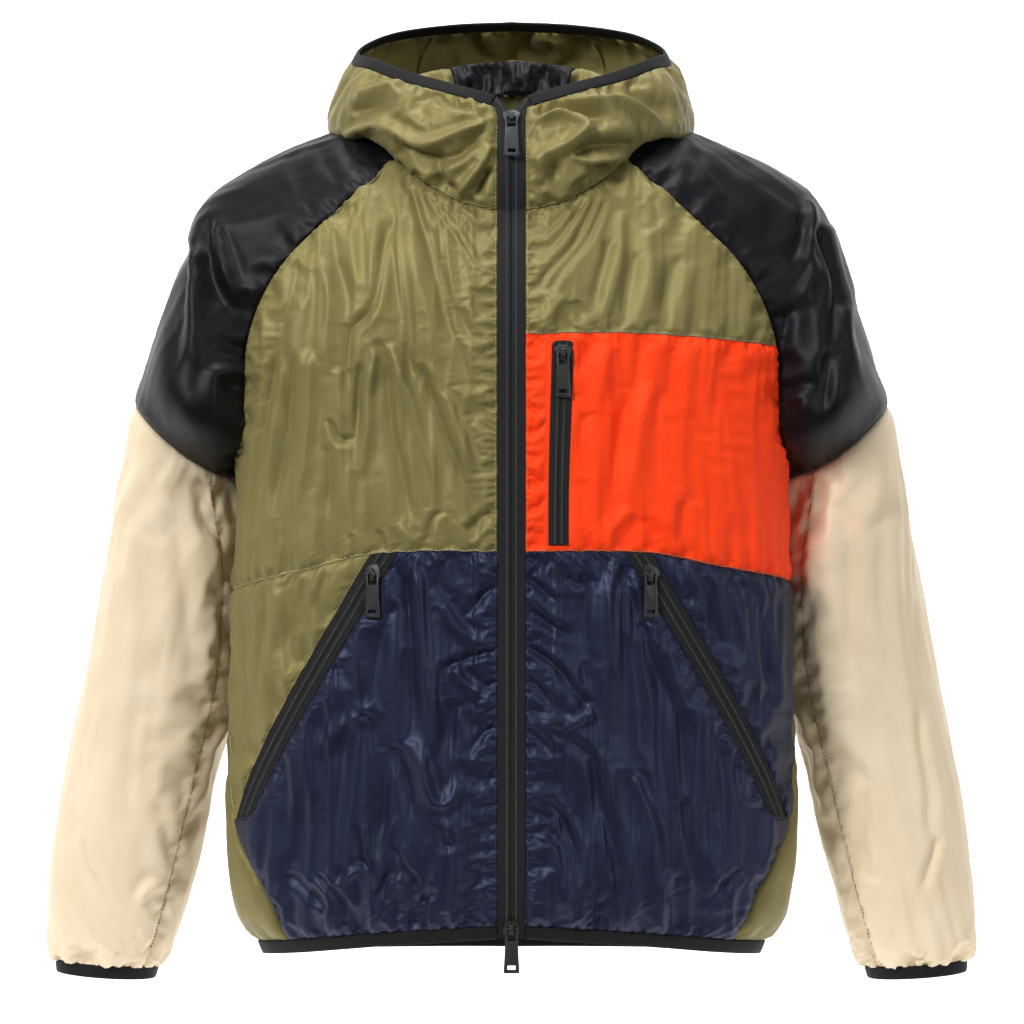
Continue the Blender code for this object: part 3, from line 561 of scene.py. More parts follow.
def patch(left, right, bottom, top, rows, columns):
    """A grid between four lines that meet at their corners. It starts as a Coons patch: the blend of
    left and right, plus the blend of bottom and top, less the blend of the four corners. Then its
    cells are evened out, so that a bend in one seam doesn't run right across the panel."""
    left, right = even(left, rows + 1), even(right, rows + 1)
    bottom, top = even(bottom, columns + 1), even(top, columns + 1)
    s = np.linspace(0, 1, columns + 1)[None, :, None]
    t = np.linspace(0, 1, rows + 1)[:, None, None]
    sides = (1 - s) * left[:, None] + s * right[:, None]
    ends = (1 - t) * bottom[None] + t * top[None]
    low = (1 - s) * bottom[0] + s * bottom[-1]
    high = (1 - s) * top[0] + s * top[-1]
    grid = sides + ends - ((1 - t) * low + t * high)
    coarse = grid[::4, ::4]
    grid = grid + finer(averaged(coarse, COARSE_ROUNDS) - coarse, 4)
    return averaged(grid, FINE_ROUNDS)


def on_body(grid, side, along_zip=False):
    """A grid of (u, height) on one side of the body as points, with its columns running to the left."""
    points = torso(side * grid[..., 0], grid[..., 1])
    if along_zip:
        points[:, 0, 0] = side * ZIP_EDGE
    return points if side > 0 else points[:, ::-1]


def mirrored(points):
    """The same grid on the wearer's right, with its columns turned round so that it faces out."""
    return (points * (-1, 1, 1))[:, ::-1]


def cells(length, size):
    """How many cells of about that size fit a length, as a multiple of four."""
    return 4 * max(2, round(length / size / 4))


# %% The armholes, the sleeves and the hood
def armhole_rows(steps):
    """Front seam, ridge and back seam of the sleeve head, at steps from the neck to the underarm."""
    ends = (*UNDERARM, *ARMHOLE_RIDGE_END)
    rows = smooth(numbered([row[:5] for row in ARMHOLE] + [ends]), steps)
    back = [(u_behind(row[5], row[6]), row[6]) for row in ARMHOLE] + [UNDERARM]
    return rows[:, :2], rows[:, 2:], smooth(numbered(back), steps)


def seam_pull(line, towards):
    """The direction that leaves a seam of the body square to it, in the body's surface."""
    points = torso(line[:, 0], line[:, 1])
    across = torso(line[:, 0] + 1, line[:, 1]) - points
    up = torso(line[:, 0], line[:, 1] + 1) - points
    pull = np.cross(np.gradient(points, axis=0), np.cross(across, up))
    pull *= np.sign((pull * (towards - points)).sum(1, keepdims=True))
    return unit(pull)


def sleeve_half(seam_points, pull, ridge, full, count):
    """Bezier curves from a seam to the ridge: each leaves the seam along its pull and meets the ridge
    square to it, with handles as long as a share of the distance between them. Near the ridge's own
    depth, and down at the underarm, the seam's pull tells front from back."""
    t = np.linspace(0, 1, 81)[None, :, None]
    reach = full[:, None] * np.linalg.norm(ridge - seam_points, axis=1, keepdims=True)
    behind = seam_points[:, 1] - ridge[:, 1]
    near = (np.abs(behind) < RIDGE_NEAR) | (np.arange(len(ridge)) > RIDGE_SHARE * len(ridge))
    across = np.where(near, np.sign(pull[:, 1]), np.sign(behind))
    first = (seam_points + reach * pull)[:, None]
    second = (ridge + reach * np.stack([0 * across, across, 0 * across], 1))[:, None]
    curve = (1 - t) ** 3 * seam_points[:, None] + 3 * t * (1 - t) ** 2 * first
    curve = curve + 3 * t * t * (1 - t) * second + t**3 * ridge[:, None]
    return np.stack([even(row, count) for row in curve])


def sleeve_head(rows, columns):
    """The left sleeve's upper piece: rows from the neck to the arm seam, columns from front to back."""
    steps = np.linspace(0, ARMHOLE_STEPS, rows + 1)
    front, ridge, back = armhole_rows(steps)
    # From the third step down, the cloth leaves both seams outwards instead of in the body's surface.
    blend = ease((steps - 3) / 5)[:, None]
    full = HANDLES[0] + HANDLES[1] * blend[:, 0] + HANDLES[2] * ease((steps - 7) / 2)
    halves = []
    for line, way in ((front, -1), (back, 1)):
        pull = (1 - blend) * seam_pull(line, ridge) + blend * (np.array(UNDERARM_PULL) * (1, way, 1))
        halves.append(sleeve_half(torso(*line.T), unit(pull), ridge, full, columns // 2 + 1))
    return np.concatenate([halves[0], halves[1][:, -2::-1]], 1)


def sleeve_rings(rows, turn):
    """Closed rings round the arm, each an oval between its inner and its outer point."""
    inner_x, inner_z, outer_x, outer_z, depth, half_depth = np.asarray(rows, float).T[:, :, None]
    out = (1 - np.cos(turn)) / 2
    squared = bent(np.sin(turn), SLEEVE_SQUARENESS)
    x, z = inner_x + (outer_x - inner_x) * out, inner_z + (outer_z - inner_z) * out
    return np.stack([x, depth - half_depth * squared, z], -1)


def sleeve_lower(rows, columns):
    """The left sleeve's lower piece: ovals from the arm seam to the cuff. Near the seam they take the
    shape of the sleeve head's last row, which fades out over the first rings."""
    steps = np.linspace(0, len(SLEEVE) - 1, rows + 1)
    turn = np.linspace(0, 2 * math.pi, columns + 1)
    rings = sleeve_rings(smooth(numbered(SLEEVE), steps), turn)
    seam_row = sleeve_head(4, columns)[-1]
    return rings + (1 - ease(steps / ARM_SEAM_REACH))[:, None, None] * (seam_row - rings[0])


def neck_ring():
    """The neck seam on the wearer's left, from the zip round to the centre back, as points."""
    neck = even(np.array(NECK_FRONT, float), 60)
    head = sleeve_head(4, 32)[0]
    back = torso([u_behind(x, z) for x, z in NECK_BACK], [z for _, z in NECK_BACK])
    return np.vstack([torso(*neck.T), head[1:-1], back])


def hood_columns(turns, rows):
    """The hood from the neck seam to the rim's upper edge, a column for each turn round the neck."""
    ring = neck_ring()
    ring_turn = np.degrees(np.arctan2(np.abs(ring[:, 0]), -ring[:, 1]))
    shape = smooth(HOOD, turns)
    neck = np.stack([np.interp(turns, ring_turn, axis) for axis in ring.T], 1)
    radius = np.concatenate([np.hypot(neck[:, :1], neck[:, 1:2]), shape[:, 0::2]], 1)
    height = np.concatenate([neck[:, 2:], shape[:, 1::2]], 1)
    knots = np.stack([radius, height], -1).swapaxes(0, 1)
    profile = through(np.arange(8), knots, np.linspace(0, 7, 281)).swapaxes(0, 1)
    profile = np.stack([even(column, rows + 1) for column in profile], 1)
    angle, radius = np.radians(turns)[None], profile[..., 0]
    return np.stack([radius * np.sin(angle), -radius * np.cos(angle), profile[..., 1]], -1)


def zip_flare(z):
    """How far the opened top of the zip has spread to each side at height z."""
    return FLARE_REACH * np.clip((z - FLARE_START) / FLARE_HEIGHT, 0, 1) ** 1.6


def cut_lengthwise(points, low, high, rows):
    """Rows of a grid between two distances along its columns; a negative one is from the far end."""
    columns = []
    for column in np.moveaxis(points, 1, 0):
        length = along(column)
        first = low if low >= 0 else length[-1] + low
        last = high if high > 0 else length[-1] + high
        at = np.linspace(first, last, rows + 1)
        columns.append(np.stack([np.interp(at, length, axis) for axis in column.T], 1))
    return np.stack(columns, 1)


def hood_side(columns):
    """The left hood panel's full height, with its front edge on the zip."""
    points = hood_columns(np.linspace(7, HOOD_SEAM_TURN, columns + 1), 140)
    points[:, 0, 0] = ZIP_EDGE + zip_flare(points[:, 0, 2])
    return points


def hood_centre(low_turn, columns):
    """The middle of the hood's back, across both sides of it."""
    half = hood_columns(np.linspace(low_turn, 180, columns // 2 + 1), 140)
    return np.concatenate([half, mirrored(half)[:, 1:]], 1)


def zip_path():
    """The edge of the front zip from the hem to the rim, on the wearer's left."""
    hem = HEM[0][1] - BINDING_WIDTH
    body = torso(0, np.linspace(hem, NECK_FRONT[0][1], 300)) + (ZIP_EDGE, 0, 0)
    return np.vstack([body, hood_side(4)[1:, 0]])


ZIP_PATH = zip_path()
print("front zip", round(along(ZIP_PATH)[-1]), "mm long")

# %% [markdown]
# ## How sewn cloth gets its creases
# A seam with a zip or an elastic in it is shorter than the cloth sewn to it, so the cloth beside it
# has to buckle: fine puckers at the seam run together into broader folds further away. Drawing each
# one by hand looks drawn. Here every panel is a grid of links, as in cloth simulation. Each link wants
# to be a little longer than on the smooth form, most of all beside seams, while the seam itself stays
# where it is. Moving each link's ends to its own length, again and again, makes the folds. It works
# from a coarse grid to a fine one, so that the broad folds come first and the puckers grow on them.
# The main creases that show on the real jacket are listed and pressed in first.


# %% Noise and distances on a grid
LATTICE = 256
WANDER, WANDER_SPAN = 1.5, 30
RIDGE_AWAY, RIDGE_WIDTH = 1.7, 1.1
CREASE_START, CREASE_END = 0.12, 0.4


def lattice_noise(x, y, seed):
    """Smooth random heights from -1 to 1: seeded random numbers on a unit lattice, eased between."""
    numbers = np.random.RandomState(seed).uniform(-1, 1, (LATTICE, LATTICE))
    column, row = np.floor(x).astype(int), np.floor(y).astype(int)
    s, t = ease(x - column), ease(y - row)
    left, right = column % LATTICE, (column + 1) % LATTICE
    row, above = row % LATTICE, (row + 1) % LATTICE
    low = numbers[row, left] * (1 - s) + numbers[row, right] * s
    high = numbers[above, left] * (1 - s) + numbers[above, right] * s
    return low * (1 - t) + high * t


def edge_distances(form):
    """Distances along the cloth to a grid's left, right, bottom and top edges, each as an array."""
    across = np.linalg.norm(np.diff(form, axis=1), axis=2).cumsum(1)
    upward = np.linalg.norm(np.diff(form, axis=0), axis=2).cumsum(0)
    left = np.pad(across, ((0, 0), (1, 0)))
    bottom = np.pad(upward, ((1, 0), (0, 0)))
    return {"left": left, "right": left[:, -1:] - left, "bottom": bottom, "top": bottom[-1:] - bottom}


def outward(points):
    """Unit vectors square to the grid, from the cross product of its two directions."""
    normal = np.cross(np.gradient(points, axis=1), np.gradient(points, axis=0))
    length = np.linalg.norm(normal, axis=2, keepdims=True)
    return normal / np.maximum(length, 1e-6)


def press(form, creases, fade, seed):
    """Raises or sinks listed creases. Each is (width, depth, x, z, x, z, ...): a line in the front
    view. Across it, at distance s, the height is depth times exp(-(s/w)^1.4), less half of that at 1.7
    widths to its left and a quarter at 1.7 widths to its right, so that a trough has a ridge beside
    it. It fades out at both ends, and noise makes it wander a little."""
    spot = form[..., 0] / WANDER_SPAN, form[..., 2] / WANDER_SPAN
    x = form[..., 0] + WANDER * lattice_noise(*spot, seed)
    z = form[..., 2] + WANDER * lattice_noise(*spot, seed + 1)
    height = np.zeros(form.shape[:2])
    for width, depth, *line in creases:
        points = np.array(line, float).reshape(-1, 2)
        knots = np.arange(len(points))
        points = through(knots, points, np.linspace(0, len(points) - 1, 7 * len(points)))
        run = np.diff(points, axis=0)[:, :, None, None]
        from_x, from_z = x[None] - points[:-1, 0, None, None], z[None] - points[:-1, 1, None, None]
        reach = run[:, 0] ** 2 + run[:, 1] ** 2
        t = np.clip((from_x * run[:, 0] + from_z * run[:, 1]) / reach, 0, 1)
        away = np.hypot(from_x - t * run[:, 0], from_z - t * run[:, 1])
        nearest = away.argmin(0)[None]
        away = np.take_along_axis(away, nearest, 0)[0]
        t = (np.take_along_axis(t, nearest, 0)[0] + nearest[0]) / len(run)
        turn = from_z * run[:, 0] - from_x * run[:, 1]
        signed = away * np.sign(np.take_along_axis(turn, nearest, 0)[0])
        wide = width * (0.75 + 0.5 * t)
        taper = ease(t / CREASE_START) * ease((1 - t) / CREASE_END)
        bump = np.exp(-((away / wide) ** 1.4))
        for share, way in ((0.5, 1), (0.25, -1)):
            off = signed - way * RIDGE_AWAY * wide
            bump = bump - share * np.exp(-((off / (RIDGE_WIDTH * wide)) ** 2))
        height += depth * taper * bump
    return form + (height * fade)[..., None] * outward(form)


def ridged(noise):
    """Noise turned into crests: 1 where it is 0, and -1 where it is largest."""
    return 1 - 2 * np.abs(noise) ** 0.8


def gather(away, feeds, slant, seed):
    """The puckers beside seams: narrow crests that leave each fed edge, lean down with the slant, and
    fade out. Their height follows the first over-feed of the edge."""
    height = 0 * away["left"]
    for number, (edge, spans) in enumerate(feeds.items()):
        amount, reach = spans[0]
        far = away[edge]
        run = away["bottom"] + slant * far if edge in ("left", "right") else away["left"]
        run = run + PUCKER_WANDER * lattice_noise(run / 17, far / 23, seed + number)
        width = PUCKER * (1 + far / PUCKER_SPREAD)
        crests = ridged(lattice_noise(run / width, far / (4 * PUCKER), seed + 10 + number))
        crests = crests * (0.65 + 0.5 * lattice_noise(run / 15, far / 30, seed + 20 + number))
        fade = (1 - np.exp(-far / PUCKER_RISE)) * np.exp(-far / (2.0 * reach))
        height = height + PUCKER_HEIGHT * amount * crests * fade
    return height


# %% Letting the cloth settle
SEAM_DEPTH = 1.1
SEAM_REACH = 5.0
PUCKER = 4.3
PUCKER_HEIGHT, PUCKER_WANDER = 10.0, 2.0
PUCKER_RISE, PUCKER_SPREAD = 1.6, 30
DRAPE_HEIGHT = 1.8
LINKS = ((0, 1), (1, 0), (1, 1), (1, -1))
RIPPLE = (8.5, 90)
STIFF = 0.62
SHEAR = 0.4
LOOSE = 0.985


def link_ends(array, up, across):
    """The two ends of every link that goes so many rows up and columns across, as views."""
    rows, columns = array.shape[:2]
    if across >= 0:
        return array[: rows - up, : columns - across], array[up:, across:]
    return array[: rows - up, -across:], array[up:, : columns + across]


def link_length(array, up, across):
    """The length of every such link."""
    first, second = link_ends(array, up, across)
    return np.linalg.norm(second - first, axis=2, keepdims=True)


def rest_length(form, feed_across, feed_up, up, across):
    """A link's own length: its length on the form, times 1 plus the cloth's over-feed that way."""
    low, high = link_ends(feed_across, up, across)
    share_across = (low + high) / 2
    low, high = link_ends(feed_up, up, across)
    share_up = (low + high) / 2
    if across == 0:
        stretch = 1 + share_up
    elif up == 0:
        stretch = 1 + share_across
    else:
        stretch = 1 + (share_up + share_across) / 2
    return (link_length(form, up, across) * stretch[..., None]).astype(np.float32)


def relax(points, form, feed_across, feed_up, free, rounds, hold, bend):
    """Moves the ends of each link towards its own length, one kind of link at a time. Links that span
    two cells only push, which keeps folds from being sharper than the cloth bends. A weak pull leads
    each point back to the form."""
    points, form, free = points.astype(np.float32), form.astype(np.float32), free.astype(np.float32)
    kinds = []
    for up, across in LINKS:
        rest = rest_length(form, feed_across, feed_up, up, across)
        kinds.append((up, across, rest, STIFF if 0 in (up, across) else SHEAR, False))
    for up, across in ((0, 2), (2, 0)):
        rest = rest_length(form, feed_across, feed_up, up, across)
        kinds.append((up, across, rest * LOOSE, bend, True))
    for _ in range(rounds):
        for up, across, rest, stiffness, push_only in kinds:
            first, second = link_ends(points, up, across)
            free_first, free_second = link_ends(free, up, across)
            run = second - first
            length = np.sqrt(np.einsum("ijk,ijk->ij", run, run))[..., None] + 1e-6
            short = (rest - length) / length
            if push_only:
                short = np.maximum(short, 0)
            move = (0.5 * stiffness) * short * run
            first -= move * free_first
            second += move * free_second
        points += hold * free * (form - points)
    return points


def settle(
    form, creases, feeds, middle=(0.012, 0.012), slant=0.0, seed=1,
    still=None, grain=(45, 190), around=None, fall=1.0,
):
    """The cloth of one panel. feeds gives for an edge (over-feed along it, how far that reaches);
    middle is the over-feed across and up everywhere. slant leans the puckers of the side edges.
    grain is the width and length of the panel's broad folds, which run square to around: the
    distance from the left edge, unless it is given. fall scales their height. still is 0 where the
    cloth has to lie flat, under a zip or a pull."""
    away = edge_distances(form)
    seam_dip = np.prod([1 - np.exp(-away[edge] / SEAM_REACH) for edge in away], axis=0)
    puffed = form + SEAM_DEPTH * seam_dip[..., None] * outward(form)
    around = away["left"] if around is None else around
    wander = 5.0 * lattice_noise(around / 60, form[..., 2] / 80, seed + 2)
    broad, long = (around + wander) / grain[0], away["bottom"] / grain[1]
    drape = 0.55 * lattice_noise(2 * broad, 2 * long, seed + 3)
    drape += 0.45 * ridged(lattice_noise(3 * broad, long, seed + 4))
    ripple = lattice_noise((around + wander) / RIPPLE[0], away["bottom"] / RIPPLE[1], seed + 5)
    drape += 0.30 * ridged(ripple)
    loose = seam_dip if still is None else seam_dip * still
    height = DRAPE_HEIGHT * fall * drape * loose
    height += gather(away, feeds, slant, seed + 40) * (1 if still is None else still)
    base = press(puffed, creases, loose, seed) + height[..., None] * outward(form)
    across, up = np.full(form.shape[:2], middle[0]), np.full(form.shape[:2], middle[1])
    for edge, spans in feeds.items():
        for amount, reach in spans:
            fade = amount * np.exp(-away[edge] / reach)
            if edge in ("left", "right"):
                up = up + fade
            else:
                across = across + fade
    free = np.ones((*form.shape[:2], 1))
    free[0], free[-1], free[:, 0], free[:, -1] = 0, 0, 0, 0
    if still is not None:
        free = free * still[..., None]
        across, up = across * still, up * still
    u, v = around, away["bottom"]
    side = np.minimum(away["left"], away["right"])
    end = np.minimum(away["bottom"], away["top"])
    moved = None
    for level, (skip, rounds, hold, bend, wave) in enumerate(LEVELS):
        part = (slice(None, None, skip), slice(None, None, skip))
        coarse, normal = base[part], outward(base[part])
        sway = lattice_noise(u[part] / grain[0] * 2, v[part] / grain[1] * 2, seed + 10 * level)
        lean = v[part] + slant * side[part]
        beside = lattice_noise(lean / wave, side[part] / (4 * wave), seed + 10 * level + 1)
        above = lattice_noise(u[part] / wave, end[part] / (5 * wave), seed + 10 * level + 2)
        near_side, near_end = np.exp(-side[part] / (3 * wave)), np.exp(-end[part] / (3 * wave))
        noise = sway * (1.2 if level == 0 else 0.1) + 0.5 * (beside * near_side + above * near_end)
        start = coarse + (noise * SEED_HEIGHT * skip**0.5)[..., None] * normal * free[part]
        if moved is not None:
            start = start + averaged(finer(moved, 2), 1) * free[part]
        settled = relax(start, coarse, across[part], up[part], free[part], rounds, hold, bend)
        moved = settled - coarse
    return base + moved


# step, rounds, pull to the form, stiffness in bending, width of the seeds beside seams
LEVELS = ((4, 400, 0.0015, 0.3, 26.0), (2, 220, 0.0015, 0.2, 14.0), (1, 140, 0.0015, 0.08, 6.5))
SEED_HEIGHT = 0.5
print(len(LEVELS), "levels of settling")

# %% [markdown]
# ## Cutting and sewing the panels
# Each panel is worked out as a smooth grid between its seams, settled, and given a wall of 0.4 mm by
# Solidify. Real taffeta is 0.1 mm, which is too thin for a printed or baked model. Neighbours share
# their seam line exactly, and both dip a little at it, as a seam that is turned under does.

# %% A piece of cloth
CLOTH_WALL = 0.4
FRONT_CELL = 2.1
HOOD_CELL = 2.3
SLEEVE_CELL = 3.3
BACK_CELL = 6.2
HEAD_CELL = 2.9
SIDE_CELL = 3.0
NEAR_COLUMNS = 12
HOOD_BACK_CELL = 3.2
sizes = {}


def show_sizes(word):
    """Prints the flat width, length and area of the pieces whose node's name holds a word."""
    print({node: size for node, size in sizes.items() if word in node})


def sewn(node, points, finish, slot, closed=False, wall=CLOTH_WALL):
    """Makes the cloth that stands for a node and rides on the jacket."""
    away = edge_distances(points)
    uv = np.stack([away["left"] - away["left"][:, -1:] / 2, away["bottom"]], -1)
    obj = grid_mesh(f"{node}_cloth", points, finish, closed, uv)
    thick = obj.modifiers.new("wall", "SOLIDIFY")
    thick.thickness = wall * MM
    thick.offset = -1
    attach(obj, "jacket")
    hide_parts(node)
    width, length = away["left"][:, -1].max(), away["bottom"][-1].max()
    diagonals = np.cross(points[1:, 1:] - points[:-1, :-1], points[1:, :-1] - points[:-1, 1:])
    area = np.linalg.norm(diagonals, axis=2).sum() / 2
    sizes[node] = (round(width), round(length), round(area / 100))


def beside(points, edge, distance, lift=0.25):
    """The line that lies on the cloth at a distance in from one of its edges."""
    raised = points + lift * outward(points)
    if edge in ("bottom", "top"):
        raised = raised.swapaxes(0, 1)
    if edge in ("right", "top"):
        raised = raised[:, ::-1]
    near = raised[:, :NEAR_COLUMNS]
    reach = np.pad(np.linalg.norm(np.diff(near, axis=1), axis=2).cumsum(1), ((0, 0), (1, 0)))
    last = (reach < distance).sum(1).clip(1, near.shape[1] - 1)
    row = np.arange(len(near))
    share = (distance - reach[row, last - 1]) / (reach[row, last] - reach[row, last - 1])
    return near[row, last - 1] + share[:, None] * (near[row, last] - near[row, last - 1])


SIDES = ((1, "left"), (-1, "right"))
THREADS = (olive_thread, green_thread, orange_thread, navy_thread, cream_thread)
stitch_lines = {thread: [] for thread in THREADS}

# %% [markdown]
# ### The fronts
# Each front is sewn to the zip over its whole height, so fine puckers lean down along the zip. The
# wearer's left has an olive yoke, an orange chest panel and a navy lower front; the right has one
# olive chest panel over a navy lower front. A pocket zip slants down each lower front.

# %% Seam lines shared by the fronts
ZIP_FEED = ((0.16, 6.0), (0.05, 20.0))
SEAM_FEED = ((0.11, 6.0), (0.03, 20.0))
HEM_FEED = ((0.18, 14.0), (0.04, 50.0))
FINE = 120


def height_line(rows, first, last):
    """A seam given as height against u, from one u to another, as points (u, height)."""
    u = np.linspace(first, last, FINE)
    return np.stack([u, smooth(rows, u)[:, 0]], 1)


def edge_of_zip(low, high):
    """The edge of the front zip between two heights, as (u, height)."""
    return np.stack([np.full(FINE, ZIP_EDGE), np.linspace(low, high, FINE)], 1)


def front_panels(side):
    """The four seams of every front panel on one side, as lines of (u, height)."""
    waist = height_line(WAIST_SEAM[side], ZIP_EDGE, WAIST_SIDE)
    side_end = waist[-1, 1]
    steps = np.linspace(0, ARMHOLE_STEPS, 10 * ARMHOLE_STEPS + 1)
    armhole = armhole_rows(steps)[0][::-1]
    upper_side = side_seam(np.linspace(side_end, UNDERARM[1], 30))
    edge = np.vstack([upper_side, armhole[1:]])
    neck = even(np.array(NECK_FRONT, float), FINE)
    panels = {}
    if side > 0:
        turn = len(upper_side) + 10 * (ARMHOLE_STEPS - CHEST_SEAM_STEP)
        chest = height_line(CHEST_SEAM, ZIP_EDGE, edge[turn - 1, 0])
        chest[-1] = edge[turn - 1]
        zip_low = edge_of_zip(waist[0, 1], chest[0, 1])
        zip_high = edge_of_zip(chest[0, 1], neck[0, 1])
        panels["chest"] = (zip_low, edge[:turn], waist, chest)
        panels["yoke"] = (zip_high, edge[turn - 1 :], chest, neck)
    else:
        panels["yoke"] = (edge_of_zip(waist[0, 1], neck[0, 1]), edge, waist, neck)

    end_in, end_out, end_side = POCKET_END
    corner_in = pocket_line([end_in], -POCKET_TAPE_HALF)[0]
    corner_out = pocket_line([end_out], POCKET_TAPE_HALF)[0]
    pocket_in = pocket_line([POCKET_TOP], -POCKET_TAPE_HALF)[0, 0]
    pocket_out = pocket_line([POCKET_TOP], POCKET_TAPE_HALF)[0, 0]
    waist_in = height_line(WAIST_SEAM[side], ZIP_EDGE, pocket_in)
    waist_out = height_line(WAIST_SEAM[side], pocket_out, WAIST_SIDE)
    inner = np.linspace(corner_in, waist_in[-1], 40)
    outer = np.linspace(corner_out, waist_out[0], 40)
    seam_edge = side_seam(np.linspace(end_side, side_end, 40))
    panels["pocket_side"] = (outer, seam_edge, np.linspace(corner_out, seam_edge[0], 20), waist_out)
    panels["pocket"] = (inner, outer)

    hem = height_line(HEM, ZIP_EDGE, HEM_SIDE)
    low_side = side_seam(np.linspace(hem[-1, 1], end_side, 40))
    hem[-1] = low_side[0]
    low_edge = np.vstack([low_side, np.linspace(low_side[-1], corner_in, 12)[1:], inner[1:]])
    panels["lower"] = (edge_of_zip(hem[0, 1], waist[0, 1]), low_edge, hem, waist_in)
    panels["side_lines"] = (low_side, seam_edge, upper_side, armhole)
    return panels


def front_form(lines, side, size):
    """The smooth grid of a front panel, its columns running to the wearer's left."""
    left, right, bottom, top = lines
    rows = cells(max(along(left)[-1], along(right)[-1]), size)
    columns = cells(max(along(bottom)[-1], along(top)[-1]), size)
    return on_body(patch(left, right, bottom, top, rows, columns), side, bool(left[0, 0] == ZIP_EDGE))


def facing_zip(side, zip_side, other):
    """Feeds for the two side edges, whichever side of the body the zip is on."""
    return {"left": zip_side, "right": other} if side > 0 else {"right": zip_side, "left": other}


FRONTS = {side: front_panels(side) for side in (1, -1)}
print("front panels:", ", ".join(FRONTS[1]))
